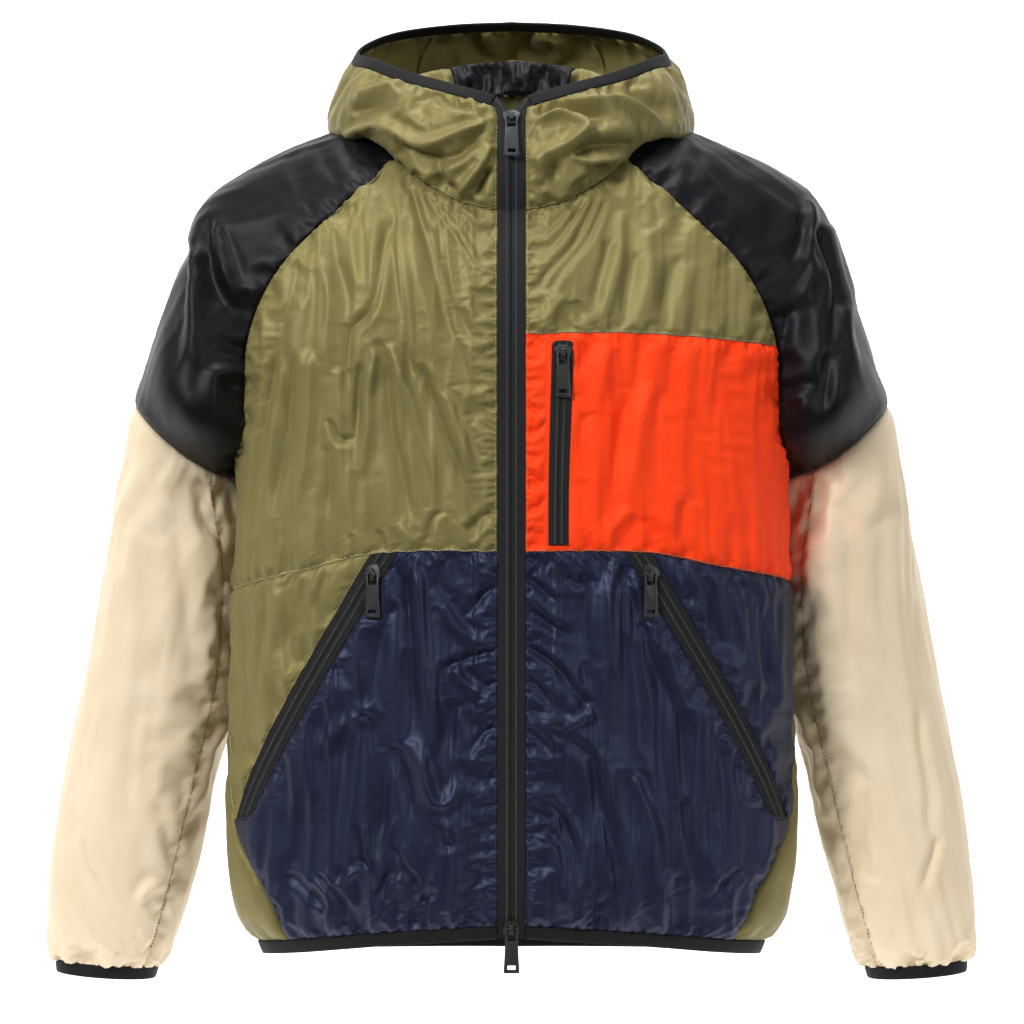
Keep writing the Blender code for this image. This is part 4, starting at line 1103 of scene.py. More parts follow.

# %% The creases, pressed in one by one
CREASES = {
    # width, depth, then x, height of each point of the line
    "front_chest_right": (
        (4.5, -3.5, -87, -25, -76, -62, -62, -113, -51, -154, -36, -198, -26, -233),
        (3.2, -2.4, -73, -43, -58, -63, -36, -100, -18, -135),
        (3.0, -2.3, -62, -49, -49, -63, -32, -88, -16, -117),
        (3.0, -2.2, -51, -54, -36, -71, -18, -97),
        (3.0, 1.9, -42, -58, -20, -76),
        (5.0, -2.7, -67, -66, -57, -109, -42, -150, -16, -195),
        (8.5, -4.1, -95, -52, -98, -98, -90, -150, -84, -193, -80, -233),
        (4.5, -3.8, -102, -65, -106, -97, -115, -141, -131, -160, -134, -193, -137, -233),
        (8.0, -3.5, -149, -69, -144, -109, -136, -147),
        (8.0, -4.4, -176, -97, -182, -132, -191, -182, -196, -233),
        (7.0, 3.0, -157, -97, -149, -135, -155, -179, -157, -233),
        (7.0, -3.5, -106, -166, -109, -198, -115, -233),
        (5.0, 3.3, -97, -169, -90, -198, -80, -233),
        (9.0, 3.3, -83, -65, -76, -114, -64, -164, -58, -233),
        (3.5, -2.2, -128, -52, -134, -69, -137, -85),
        (3.5, -2.0, -116, -40, -121, -56, -130, -72),
        (5.0, 4.2, -108, -170, -115, -208, -119, -250, -120, -283),
        (5.0, -4.8, -122, -184, -127, -222, -130, -261),
        (5.0, 4.2, -95, -173, -87, -200, -76, -239, -65, -277, -58, -310),
        (6.0, -5.4, -102, -184, -100, -222, -93, -264, -84, -305, -76, -330),
        (5.0, -4.8, -76, -184, -65, -217, -51, -255, -37, -291, -26, -321),
        (4.5, 3.6, -54, -208, -40, -250, -29, -283),
        (6.0, -5.0, -178, -172, -184, -222, -192, -277, -200, -333),
        (6.0, 4.2, -164, -172, -166, -222, -171, -277, -175, -321),
        (5.0, -4.4, -195, -175, -204, -236, -214, -291, -218, -333),
        (3.5, -3.6, -151, -230, -142, -246, -135, -248, -131, -241),
        (6.0, 3.4, -142, -189, -141, -217, -138, -239),
        (6.0, -3.6, -151, -250, -148, -283, -151, -316),
        (4.0, -2.8, -38, -322, -26, -313, -14, -305),
        (3.5, 2.8, -32, -335, -23, -324, -13, -320),
        (4.0, -3.0, -60, -305, -66, -322, -68, -339),
        (3.5, 2.8, -92, -318, -84, -328, -74, -333),
        (3.0, -2.6, -110, -322, -106, -334, -108, -341),
        (3.0, -2.6, -132, -326, -128, -337, -130, -345),
    ),
    "front_yoke_left": (
        (3.2, -3.0, 75, -39, 54, -80, 29, -113, 13, -135),
        (3.6, -2.7, 78, -47, 65, -76, 41, -109, 18, -146),
        (3.0, -2.2, 54, -51, 36, -69, 16, -85),
        (3.0, -2.3, 63, -47, 43, -76, 20, -100),
        (6.0, -3.5, 80, -80, 71, -118, 62, -159),
        (6.0, 2.7, 89, -58, 87, -109, 74, -157),
        (5.0, -2.4, 115, -47, 124, -76),
        (9.0, -3.0, 102, -91, 96, -131, 91, -160),
        (9.0, -3.0, 137, -96, 127, -127, 120, -160),
        (6.0, 3.0, 45, -131, 32, -146, 25, -159),
        (5.0, -2.4, 51, -135, 59, -155),
        (9.0, 2.7, 111, -73, 113, -113, 107, -159),
    ),
    "chest_panel_left": (
        (8.0, -3.3, 96, -211, 85, -275, 79, -337),
        (9.0, 2.4, 115, -200, 103, -256, 96, -305),
        (5.0, -2.2, 60, -226, 56, -249, 58, -279),
        (6.0, -2.7, 142, -298, 137, -339),
        (6.0, 2.4, 101, -305, 86, -318, 73, -337),
        (5.0, -1.9, 109, -311, 124, -330),
        (9.0, -2.4, 71, -164, 58, -182, 52, -201),
        (8.0, 2.2, 80, -168, 73, -201, 67, -233),
        (9.0, -2.4, 107, -168, 102, -201, 89, -233),
        (9.0, -2.2, 133, -168, 129, -201, 120, -233),
        (3.0, -2.0, 13, -222, 26, -228),
        (3.0, -2.2, 30, -234, 21, -243, 11, -247),
        (3.0, -1.9, 13, -262, 24, -266),
        (3.0, -2.2, 13, -273, 22, -284, 29, -283),
        (3.0, -2.0, 28, -294, 19, -305, 13, -307),
        (3.0, -1.9, 13, -320, 24, -331),
    ),
    "front_lower_right": (
        (7.0, -5.8, -94, -495, -90, -510, -85, -534, -80, -557, -77, -581),
        (5.0, 3.8, -72, -495, -71, -526, -64, -543, -54, -545, -44, -531, -36, -517),
        (4.0, -3.5, -127, -562, -124, -583, -115, -608, -108, -615),
        (4.5, 3.8, -108, -614, -105, -589, -101, -570, -90, -553),
        (3.5, -3.3, -96, -578, -90, -595, -80, -611, -82, -620),
        (5.0, -3.5, -188, -604, -171, -615, -157, -628, -149, -636),
        (4.0, 3.3, -143, -619, -130, -604, -121, -601, -115, -612, -108, -615),
        (4.0, -3.5, -158, -604, -146, -619, -137, -630, -130, -640),
        (4.0, 3.3, -105, -630, -97, -612, -93, -611, -91, -620),
        (4.0, -3.3, -80, -630, -66, -620, -61, -619),
        (4.0, -3.3, -58, -562, -54, -579, -46, -573),
        (9.0, -5.5, -90, -348, -86, -392, -81, -437, -78, -482, -75, -511),
        (5.0, 3.5, -78, -348, -75, -404, -67, -460, -62, -511),
        (8.0, -3.5, -96, -379, -109, -416, -120, -457, -125, -470),
        (5.0, 3.3, -56, -381, -43, -404, -20, -422),
        (4.0, -3.0, -12, -422, -35, -428, -50, -435, -52, -449),
        (7.0, -3.5, -44, -461, -49, -482, -50, -511),
        (4.5, 3.3, -50, -435, -35, -452, -18, -464),
        (5.0, -3.0, -123, -472, -115, -481, -115, -511),
        (7.0, 3.0, -125, -472, -146, -491, -164, -511),
        (4.0, -2.7, -14, -369, -28, -381, -31, -395),
        (3.5, -2.7, -12, -482, -25, -491, -34, -511),
        (5.0, -2.7, -61, -346, -59, -367, -52, -384),
        (3.5, -2.7, -12, -446, -22, -455, -29, -467),
    ),
    "front_lower_left": (
        (6.0, -4.9, 64, -500, 72, -540, 84, -590, 88, -630),
        (5.0, 3.8, 100, -520, 112, -560, 118, -610),
        (4.0, -3.5, 30, -540, 44, -566, 54, -600, 50, -634),
        (4.5, -3.8, 140, -540, 146, -580, 160, -620),
        (4.0, 3.3, 24, -570, 36, -590, 40, -630),
        (5.0, -3.5, 186, -600, 172, -618, 156, -632),
        (4.0, 3.3, 132, -600, 124, -622, 128, -642),
        (9.0, -4.1, 65, -355, 59, -404, 64, -452, 75, -511),
        (6.0, 3.0, 84, -346, 81, -395, 84, -446),
        (6.0, -4.4, 90, -348, 103, -387, 115, -422, 132, -467, 147, -511),
        (5.0, 3.3, 97, -361, 111, -396, 120, -428, 135, -461),
        (4.0, -3.0, 12, -381, 26, -395, 55, -414),
        (4.0, -3.5, 12, -416, 37, -434, 52, -455, 66, -473),
        (4.0, -3.0, 12, -435, 25, -455, 34, -476),
        (5.0, 3.3, 49, -482, 64, -473, 67, -472),
        (5.0, -3.3, 49, -484, 50, -496, 62, -511),
        (3.5, -2.7, 12, -361, 28, -375, 32, -381),
        (4.0, -2.7, 11, -482, 23, -495, 35, -511),
        (7.0, 2.7, 128, -416, 135, -452, 150, -491),
        (4.0, -2.7, 47, -360, 55, -366, 64, -358),
    ),
    "pocket_side_right": (
        (5.0, -2.7, -203, -367, -206, -410, -209, -467),
        (6.0, 2.7, -191, -367, -196, -416, -200, -464),
        (5.0, -2.7, -170, -361, -178, -395, -191, -428),
        (4.0, -2.4, -149, -355, -158, -376, -162, -395),
        (6.0, -3.0, -218, -379, -221, -437, -223, -498),
    ),
    "pocket_side_left": (
        (5.0, -2.7, 159, -355, 168, -404, 178, -428),
        (6.0, 2.7, 181, -361, 193, -416, 203, -467),
        (5.0, -3.0, 200, -364, 211, -428, 217, -482),
        (4.0, -2.4, 138, -352, 144, -370, 153, -388),
    ),
}
print(sum(len(rows) for rows in CREASES.values()), "creases placed by hand")

# %% The chest, the yoke and the lower fronts
FLAT_EDGE = 6
fronts = {}


def front(node, panel, side, finish, slot, feeds, size=FRONT_CELL, **how):
    """Settles and sews one front panel, flat under the chest zip or the hand pocket's pull."""
    form = front_form(FRONTS[side][panel], side, size)
    still = flat_under(form, *CHEST_ZIP if panel == "chest" else POCKET_PULL)
    how = {"around": form[..., 0], "seed": len(fronts) * 100 + 7, "still": still, **how}
    fronts[node] = settle(form, CREASES.get(node, ()), feeds, **how)
    sewn(node, fronts[node], finish, slot)


def flat_under(form, left, right, low, high):
    """0 under a zip or a pull, so that the cloth lies flat there, rising to 1 beside it."""
    across = np.abs(form[..., 0])
    outside = np.maximum(left - across, across - right)
    beyond = np.maximum(low - form[..., 2], form[..., 2] - high)
    return ease(np.maximum(outside, beyond) / FLAT_EDGE)


def feeds_of(side, zip_side, bottom):
    """A front panel's over-feeds: beside the zip, at its bottom, and at its other two seams."""
    return {**facing_zip(side, zip_side, SEAM_FEED), "bottom": bottom, "top": SEAM_FEED}


OLIVE, NAVY, ORANGE = (olive, "olive_nylon"), (navy, "navy_nylon"), (orange, "orange_nylon")
UPPER_FRONTS = (
    # node, panel, side, cloth, how it hangs
    ("front_chest_right", "yoke", -1, OLIVE, {"grain": (42, 240), "fall": 1.8}),
    ("front_yoke_left", "yoke", 1, OLIVE, {}),
    ("chest_panel_left", "chest", 1, ORANGE, {"fall": 0.9}),
)
LOWER_FRONT = {"slant": 0.9, "middle": (0.007, 0.005), "grain": (52, 170), "fall": 2.8}
LOWER_ZIP_FEED = ((0.14, 8.0), (0.04, 30.0))
POCKET_SIDE = {"size": SIDE_CELL, "middle": (0.016, 0.014), "fall": 1.8}
POCKET_SIDE_FEED = {"left": SEAM_FEED, "right": SEAM_FEED, "top": SEAM_FEED}
for node, panel, side, cloth, how in UPPER_FRONTS:
    front(node, panel, side, *cloth, feeds_of(side, ZIP_FEED, SEAM_FEED), slant=-0.7, **how)
for side, name in SIDES:
    feeds = feeds_of(side, LOWER_ZIP_FEED, HEM_FEED)
    front(f"front_lower_{name}", "lower", side, *NAVY, feeds, **LOWER_FRONT)
    cloth = NAVY if side > 0 else OLIVE
    front(f"pocket_side_{name}", "pocket_side", side, *cloth, POCKET_SIDE_FEED, **POCKET_SIDE)
show_sizes("front")

# %% [markdown]
# ### The back
# The back is one panel of olive nylon from side seam to side seam, which show a little at the front
# above the hem. Nothing shows how it is creased, so it gets folds like the fronts' own.

# %% The back
BACK_CREASES = (
    (9.0, -4.8, -120, -60, -132, -180, -128, -260, -150, -360),
    (8.0, 3.8, -60, -40, -72, -160, -70, -300),
    (8.0, -4.5, 20, -60, 4, -180, 10, -340),
    (8.0, 4.2, 90, -50, 96, -190, 110, -330),
    (9.0, -4.8, 150, -90, 158, -220, 175, -380),
    (9.0, 4.5, -170, -420, -130, -520, -90, -620),
    (8.0, -4.2, -20, -430, -42, -540, -50, -640),
    (8.0, 4.2, 80, -420, 60, -520, 60, -630),
    (9.0, -4.8, 180, -400, 150, -510, 130, -620),
    (5.0, -4.2, -186, -120, -176, -190, -182, -270),
    (5.0, -3.8, 60, -200, 44, -260, 52, -340),
    (6.0, -4.2, -84, -360, -70, -450, -82, -560),
    (4.5, -4.2, 20, -560, 30, -610, 22, -652),
    (4.5, -4.2, -140, -560, -128, -620, -134, -655),
    (4.5, -4.2, 120, -570, 108, -620, 112, -655),
)


def back_form():
    """The back's grid, from the left side seam round behind to the right one. The right half's u is
    carried on past the centre back."""

    def whole(panels):
        low, pocket, upper, _ = panels["side_lines"]
        behind = armhole_rows(np.linspace(0, ARMHOLE_STEPS, 10 * ARMHOLE_STEPS + 1))[2]
        return np.vstack([low, pocket[1:], upper[1:], behind[::-1][1:]])

    left, right = whole(FRONTS[1]), whole(FRONTS[-1])
    right = right * (-1, 1) + (2 * HALF_GIRTH, 0)
    u = np.linspace(left[0, 0], right[0, 0], FINE)
    hem = np.stack([u, smooth(HEM, np.minimum(u, 2 * HALF_GIRTH - u))[:, 0]], 1)
    hem[0], hem[-1] = left[0], right[0]
    neck = np.array([(u_behind(x, z), z) for x, z in NECK_BACK])
    u = np.linspace(left[-1, 0], right[-1, 0], FINE)
    heights = np.interp(np.minimum(u, 2 * HALF_GIRTH - u), neck[:, 0], neck[:, 1])
    top = np.stack([u, heights], 1)
    rows, columns = cells(along(left)[-1], BACK_CELL), cells(along(hem)[-1], BACK_CELL)
    grid = patch(left, right, hem, top, rows, columns)
    return torso(grid[..., 0], grid[..., 1])


back_grid = back_form()
feeds = {"bottom": ((0.14, 18.0), (0.04, 60.0)), "left": SEAM_FEED, "right": SEAM_FEED, "top": SEAM_FEED}
how = {"middle": (0.014, 0.014), "seed": 900, "grain": (55, 200), "around": back_grid[..., 0]}
sewn("back", settle(back_grid, BACK_CREASES, feeds, **how), *OLIVE)
show_sizes("back")

# %% [markdown]
# ### The sleeves
# A raglan sleeve runs up to the neck. Its head is black, and the lower sleeve is cream, joined to it
# by a seam that slopes down to the underarm. The cuff's elastic gathers the end into fine pleats.

# %% The sleeves
CUFF_FEED = ((0.24, 14.0), (0.09, 55.0))
ARM_SEAM_FEED = ((0.04, 10.0),)
UNDERARM_TURN = 0.113
HEAD_CREASES = {
    "left": (
        (5.0, 4.4, 243, -46, 252, -55, 249, -82, 242, -100, 233, -113),
        (6.0, -5.2, 238, -63, 245, -70, 243, -85, 236, -104),
        (5.0, 5.1, 247, -93, 251, -104, 247, -119, 238, -147),
        (7.0, -6.1, 255, -67, 262, -85, 270, -112, 270, -134, 268, -166, 270, -198),
        (7.0, 4.4, 277, -134, 279, -166, 289, -203),
        (8.0, -5.1, 227, -138, 223, -175, 233, -201),
        (6.0, 5.1, 233, -218, 242, -212, 245, -222, 244, -240),
        (7.0, -4.4, 262, -175, 259, -203, 257, -231),
    ),
    "right": (
        (7.0, -5.0, -250, -57, -253, -82, -248, -115, -232, -143, -223, -166),
        (5.0, 5.1, -247, -69, -238, -100, -229, -138),
        (8.0, -5.4, -272, -76, -274, -119, -279, -156, -281, -212),
        (7.0, 5.4, -223, -192, -245, -195, -247, -212, -240, -250),
        (8.0, 4.4, -262, -85, -264, -130, -266, -171),
        (9.0, -4.4, -223, -119, -216, -156, -212, -186),
    ),
}
LOWER_CREASES = {
    "left": (
        (9.0, -3.7, 276, -292, 284, -350, 286, -430, 282, -500),
        (5.0, 4.1, 244, -470, 258, -510, 270, -556, 284, -588),
        (4.5, -3.7, 240, -290, 238, -312, 230, -322),
        (4.5, -3.7, 243, -346, 242, -368, 234, -380),
        (4.0, -3.7, 362, -578, 352, -606, 340, -636),
        (4.5, 4.1, 318, -640, 305, -622, 298, -636),
        (6.0, -3.4, 302, -540, 292, -590, 288, -634),
        (10.0, 3.1, 318, -306, 326, -400, 334, -500),
        (6.0, -3.4, 262, -280, 257, -312, 248, -336),
        (5.0, -3.4, 340, -470, 352, -540, 356, -600),
    ),
    "right": (
        (9.0, -3.7, -284, -296, -278, -356, -273, -403, -269, -466, -267, -513),
        (5.0, 4.1, -240, -482, -256, -513, -269, -554, -281, -583),
        (4.5, -3.7, -237, -287, -236, -309, -229, -318),
        (4.5, -3.7, -239, -340, -240, -362, -231, -372),
        (4.5, -3.4, -247, -391, -243, -410, -237, -416),
        (4.0, -3.7, -360, -581, -354, -608, -338, -633),
        (4.5, 4.1, -316, -636, -303, -621, -297, -633),
        (6.0, -3.4, -300, -548, -291, -586, -284, -630),
        (10.0, 3.1, -316, -309, -319, -403, -325, -498),
        (6.0, -3.4, -262, -277, -256, -309, -247, -334),
    ),
}


def sleeve_pieces(name, seed):
    """Sews one sleeve's head and lower piece, and gives the lower one's cloth back."""
    turned = TURNED[name]
    rows, columns = cells(330, HEAD_CELL), cells(230, HEAD_CELL)
    form = turned(sleeve_head(rows, columns))[::-1]
    feeds = {"left": SEAM_FEED, "right": SEAM_FEED, "bottom": ARM_SEAM_FEED}
    head = settle(form, HEAD_CREASES[name], feeds, (0.010, 0.014), seed=seed, grain=(52, 150), fall=0.7)
    sewn(f"sleeve_upper_{name}", head, black, "black_nylon")
    rows, columns = cells(410, SLEEVE_CELL), cells(380, SLEEVE_CELL)
    lower = np.roll(sleeve_lower(rows, columns)[:, :-1], -round(UNDERARM_TURN * columns), 1)
    form = turned(np.concatenate([lower, lower[:, :1]], 1))[::-1]
    feeds = {"bottom": CUFF_FEED, "top": ARM_SEAM_FEED, "left": SEAM_FEED, "right": SEAM_FEED}
    lower = settle(form, LOWER_CREASES[name], feeds, (0.014, 0.012), seed=seed + 50, grain=(45, 200))
    sewn(f"sleeve_lower_{name}", lower, cream, "cream_nylon", closed=True)
    return lower


TURNED = {"left": lambda grid: grid, "right": mirrored}
sleeves = {"left": sleeve_pieces("left", 1100), "right": sleeve_pieces("right", 1300)}
show_sizes("sleeve")

# %% [markdown]
# ### The hood
# The hood lies folded back round the neck: two side panels and a centre panel, with an elastic rim. It
# has far more cloth than the neck, so broad folds run round it from the zip.

# %% The hood
HOOD_CREASES = {
    "left": (
        (4.5, 7.8, 15, 11, 40, 20, 61, 11, 53, -1, 31, -13, 15, -28),
        (6.0, -8.6, 50, -17, 66, -6, 91, -5, 127, 4),
        (5.0, 6.2, 40, 33, 66, 30, 98, 30, 138, 13),
        (5.0, -6.2, 15, 23, 40, 28, 66, 20, 91, 12),
        (4.5, 7.1, 47, -12, 66, -18, 85, -12, 98, -5),
        (6.0, -7.1, 21, -44, 31, -28, 47, -21),
        (5.0, -5.4, 34, 39, 59, 43, 91, 46),
        (4.5, 5.4, 21, -15, 26, -31, 21, -45),
        (6.0, -6.2, 98, 39, 120, 33, 136, 23),
        (4.5, -5.4, 47, -44, 66, -31, 79, -18),
    ),
    "right": (
        (5.0, 7.1, -142, 10, -110, 12, -78, -5, -52, -14),
        (6.0, -8.6, -24, 1, -52, -17, -81, -12, -110, 4),
        (4.5, 7.1, -22, 10, -46, 3, -65, -3, -84, -2),
        (5.0, -7.1, -17, 17, -33, 25, -56, 33, -84, 46),
        (6.0, -8.6, -40, -45, -56, -40, -62, -25, -78, -17),
        (4.5, 7.1, -17, -5, -24, -21, -38, -40, -52, -47),
        (5.0, 5.4, -30, 30, -52, 41, -81, 51),
        (5.0, -6.2, -17, -25, -25, -37, -30, -48),
        (6.0, -6.2, -135, 27, -113, 30, -91, 25),
        (6.0, 5.4, -129, 39, -100, 41, -75, 33),
    ),
    "centre": (
        (6.0, -8.2, -30, -20, -20, 20, -34, 70),
        (5.0, 8.2, 12, -20, 22, 24, 10, 72),
        (6.0, -7.7, 44, -10, 40, 30, 50, 76),
        (5.0, -7.3, -58, 0, -52, 40, -60, 80),
        (5.0, 6.1, -84, 20, -76, 50, -88, 86),
        (5.0, -6.6, 80, 20, 72, 56, 84, 88),
    ),
}


def hood_panel(node, whole, creases, seed, size, middle):
    """Sews a panel of the hood below its rim's binding, and gives its cloth back."""
    rows = cells(along(whole[:, whole.shape[1] // 2])[-1] - BINDING_WIDTH, size)
    form = cut_lengthwise(whole, 0, -BINDING_WIDTH, rows)
    grid = settle(form, creases, HOOD_FEEDS, middle, seed=seed, grain=(110, 36))
    sewn(node, grid, *OLIVE)
    return grid


HOOD_FEEDS = {
    "top": ((0.14, 10.0), (0.05, 40.0)),
    "bottom": ((0.10, 12.0), (0.04, 40.0)),
    "left": ((0.06, 12.0),),
    "right": ((0.06, 12.0),),
}
# The centre panel runs half a degree under the side ones, so that no light comes through.
side_whole = hood_side(cells(330, HOOD_CELL))
centre_whole = hood_centre(HOOD_SEAM_TURN - 0.5, cells(160, HOOD_BACK_CELL))
HOOD_PANELS = (
    # name, node, the whole panel, seed, size of cell, over-feed in its middle
    ("left", "hood_side_left", side_whole, 1500, HOOD_CELL, (0.02, 0.03)),
    ("centre", "hood_centre", centre_whole, 1600, HOOD_BACK_CELL, (0.05, 0.05)),
    ("right", "hood_side_right", mirrored(side_whole), 1700, HOOD_CELL, (0.02, 0.03)),
)
hoods = {}
for name, node, whole, seed, size, middle in HOOD_PANELS:
    hoods[name] = hood_panel(node, whole, HOOD_CREASES[name], seed, size, middle)
facing = cut_lengthwise(hood_centre(FACING_TURN, cells(170, 3.0)), *FACING_SPAN, 8)
inward = facing * (-1, -1, 0)
facing = facing + FACING_DEPTH * inward / np.linalg.norm(inward, axis=2, keepdims=True)
gathers = {"top": ((0.2, 12.0),), "bottom": ((0.2, 12.0),)}
facing = settle(facing, (), gathers, middle=(0.06, 0.03), seed=1800, grain=(24, 24))
sewn("neck_facing", facing, black, "black_nylon")
show_sizes("hood")

# %% [markdown]
# ### Bindings
# A flat elastic band folded over the cloth's edge binds the hem, the cuffs and the hood's rim. It is
# a rounded bar carried along the edge, and its small ribs are the puckers of the elastic.

# %% Bindings of the hem, cuffs and rim
BINDING_HALF = 1.35
RIB, RIB_SWELL = 2.6, 0.10


def binding(name, node, low, high, closed=False):
    """A rounded bar between two edges of a band: a superellipse of power 4 across it, whose thickness
    swells and shrinks a little along it."""
    middle, across = (low + high) / 2, high - low
    width = np.linalg.norm(across, axis=1, keepdims=True)
    across = across / width
    run = np.gradient(middle, axis=0)
    if closed:
        run[0] = run[-1] = middle[1] - middle[-2]
    out = np.cross(unit(run), across)
    turn = np.linspace(0, 2 * math.pi, 21)
    flat, deep = bent(np.cos(turn), 0.5), bent(np.sin(turn), 0.5)
    distance = along(middle)
    swell = 1 + RIB_SWELL * lattice_noise(distance / RIB, distance * 0, 31)
    swell = swell + 0.5 * RIB_SWELL * lattice_noise(distance / (5 * RIB), distance * 0, 32)
    if closed:
        swell = swell + (swell[0] - swell) * ease(1 - (distance[-1] - distance) / 12)
    half = (width[:, 0] / 2)[:, None, None]
    section = middle[:, None] + (half * flat[None, :, None]) * across[:, None]
    section = section + (BINDING_HALF * swell[:, None] * deep[None])[..., None] * out[:, None]
    grid = section.swapaxes(0, 1)
    obj = grid_mesh(name, grid, elastic, closed)
    build = bmesh.new()
    build.from_mesh(obj.data)
    bmesh.ops.remove_doubles(build, verts=build.verts, dist=1e-6)
    if not closed:
        bmesh.ops.holes_fill(build, edges=[edge for edge in build.edges if edge.is_boundary], sides=0)
    bmesh.ops.recalc_face_normals(build, faces=build.faces)
    build.to_mesh(obj.data)
    build.free()
    obj.data.shade_smooth()
    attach(obj, "jacket")
    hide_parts(node)
    length, flat_width = distance[-1], width.mean()
    sizes[node] = (round(flat_width), round(length), round(length * flat_width / 100))


u = np.linspace(ZIP_EDGE, 2 * HALF_GIRTH - ZIP_EDGE, 600)
hem_top = smooth(HEM, np.minimum(u, 2 * HALF_GIRTH - u))[:, 0]
hem_low, hem_high = torso(u, hem_top - BINDING_WIDTH), torso(u, hem_top)
for line in (hem_low, hem_high):
    line[0, 0], line[-1, 0] = ZIP_EDGE, -ZIP_EDGE
binding("hem_elastic", "hem_binding", hem_low, hem_high)
whole_hood = np.concatenate([side_whole, centre_whole[:, 1:-1], mirrored(side_whole)], 1)
rim = cut_lengthwise(whole_hood, -BINDING_WIDTH, 0, 2)
rim = np.stack([even(row, 450) for row in rim])
binding("hood_rim_elastic", "hood_binding", rim[0], rim[-1])
for name, turned in TURNED.items():
    cuff = turned(sleeve_rings([SLEEVE[-1], CUFF_END], np.linspace(0, 2 * math.pi, 241)))
    binding(f"cuff_elastic_{name}", f"cuff_binding_{name}", cuff[1], cuff[0], closed=True)
show_sizes("binding")

# %% [markdown]
# ### Zips
# The zips are coil zips set face down, so the tape's ribbed back shows with the coil's turns under it.
# Each tape half is a grid with a raised rib next to the centre line, and the turns are small bars in
# one mesh beside it. Above the top slider the front zip is open and its halves part.


# %% Small rods, for coil turns and stitches
def rods(name, starts, ends, out, width, height, finish):
    """Many short rods as one mesh: from each start to its end, with pointed tips and two oval rings
    between them, width across and height along out."""
    sides = 5
    run = ends - starts
    out = out - run * ((out * run).sum(1) / (run * run).sum(1))[:, None]
    out = unit(out)
    wide = np.cross(unit(run), out)
    turn = np.arange(sides) * 2 * math.pi / sides
    ring = (width / 2) * np.cos(turn)[None, :, None] * wide[:, None]
    ring = ring + (height / 2) * np.sin(turn)[None, :, None] * out[:, None]
    first = (starts + 0.14 * run)[:, None] + ring
    second = (starts + 0.86 * run)[:, None] + ring
    points = np.concatenate([starts[:, None], first, second, ends[:, None]], 1)
    near = 1 + np.arange(sides)
    after = 1 + (np.arange(sides) + 1) % sides
    tip, last = np.zeros(sides, int), np.full(sides, 2 * sides + 1)
    faces = np.concatenate(
        [
            np.stack([tip, near, after], 1),
            np.stack([near, near + sides, after + sides], 1),
            np.stack([near, after + sides, after], 1),
            np.stack([last, after + sides, near + sides], 1),
        ]
    )
    faces = (faces[None] + (np.arange(len(starts)) * points.shape[1])[:, None, None]).reshape(-1, 3)
    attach(mesh_piece(name, points.reshape(-1, 3), faces, finish), "jacket")


def along_line(line, at):
    """Points of a line at distances along it."""
    return read_along(line, along(line), at)


def read_along(values, length, at):
    """Values that go with each point of a line, read at other distances along it."""
    return np.stack([np.interp(at, length, axis) for axis in values.T], 1)


# %% Tapes and their coils
COIL_PITCH = 1.6
TURN_HALF, TURN_WIDTH, TURN_HEIGHT = 0.75, 0.95, 0.5
TAPE_WALL = 0.7
RIB_HEIGHT = 0.30
FRONT_LIFT, CHEST_LIFT, POCKET_LIFT = 0.35, 1.75, 0.5
CHEST_CORNER = 4.0
COIL_AT = 0.33
TAPE_PROFILE = (
    # share of the half tape's width from the centre line, height above the cloth
    (0.0, -0.35),
    (0.04, 0.1),
    (0.08, 0.28),
    (0.30, 0.30),
    (0.42, 0.22),
    (0.50, 0.06),
    (0.75, 0.0),
    (0.94, 0.0),
    (1.0, -0.3),
)


def zip_tape(node, centre, edges, lift):
    """A woven tape with a low rib beside the centre line, and the coil's turns on the rib. edges holds
    the tape's two edge lines, in the order of its columns; a half zip has None for the other one."""
    share, height = np.array(TAPE_PROFILE).T
    halves, heights = [], []
    for edge, way in zip(edges, (-1, 1)):
        if edge is not None:
            half = centre[:, None] + share[:, None] * (edge - centre)[:, None]
            halves.append(half[:, ::way])
            heights.append(height[::way])
    grid, raised = np.concatenate(halves, 1), np.concatenate(heights)
    out = outward(grid)
    sewn(node, grid + (raised + lift)[:, None] * out, tape_cloth, "black_zip_tape", wall=TAPE_WALL)
    for number, edge in enumerate(edges):
        if edge is None:
            continue
        across = unit(edge - centre)
        rib = centre + COIL_AT * (edge - centre) + (lift + RIB_HEIGHT) * out[:, 0]
        length = along(rib)
        at = np.arange(2, length[-1] - 2, COIL_PITCH)
        middle, up = along_line(rib, at), read_along(out[:, 0], length, at)
        reach = TURN_HALF * read_along(across, length, at)
        ends = (middle - reach, middle + reach)
        # The coil's turns carry the painted grey sheen of the black nylon coil.
        rods(f"{node}_coil_{number}", *ends, up, TURN_WIDTH, TURN_HEIGHT, coil_nylon_painted_sheen)


front_edge = even(ZIP_PATH, 501)
front_centre = front_edge - (ZIP_EDGE - 0.02, 0, 0)
zip_tape("front_zip_tape_left", front_centre, (None, front_edge), FRONT_LIFT)
flipped = (-1, 1, 1)
zip_tape("front_zip_tape_right", front_centre * flipped, (front_edge * flipped, None), FRONT_LIFT)

left, right, low, high = CHEST_ZIP
heights = np.linspace(low, high, 161)
middle, half = (left + right) / 2, (right - left) / 2
near_top = np.minimum(high - heights, CHEST_CORNER)
half = half - CHEST_CORNER + np.sqrt(CHEST_CORNER**2 - (CHEST_CORNER - near_top) ** 2)
chest_lines = [torso(middle + offset, heights) for offset in (-half, 0, half)]
zip_tape("chest_pocket_zip", chest_lines[1], chest_lines[::2], CHEST_LIFT)

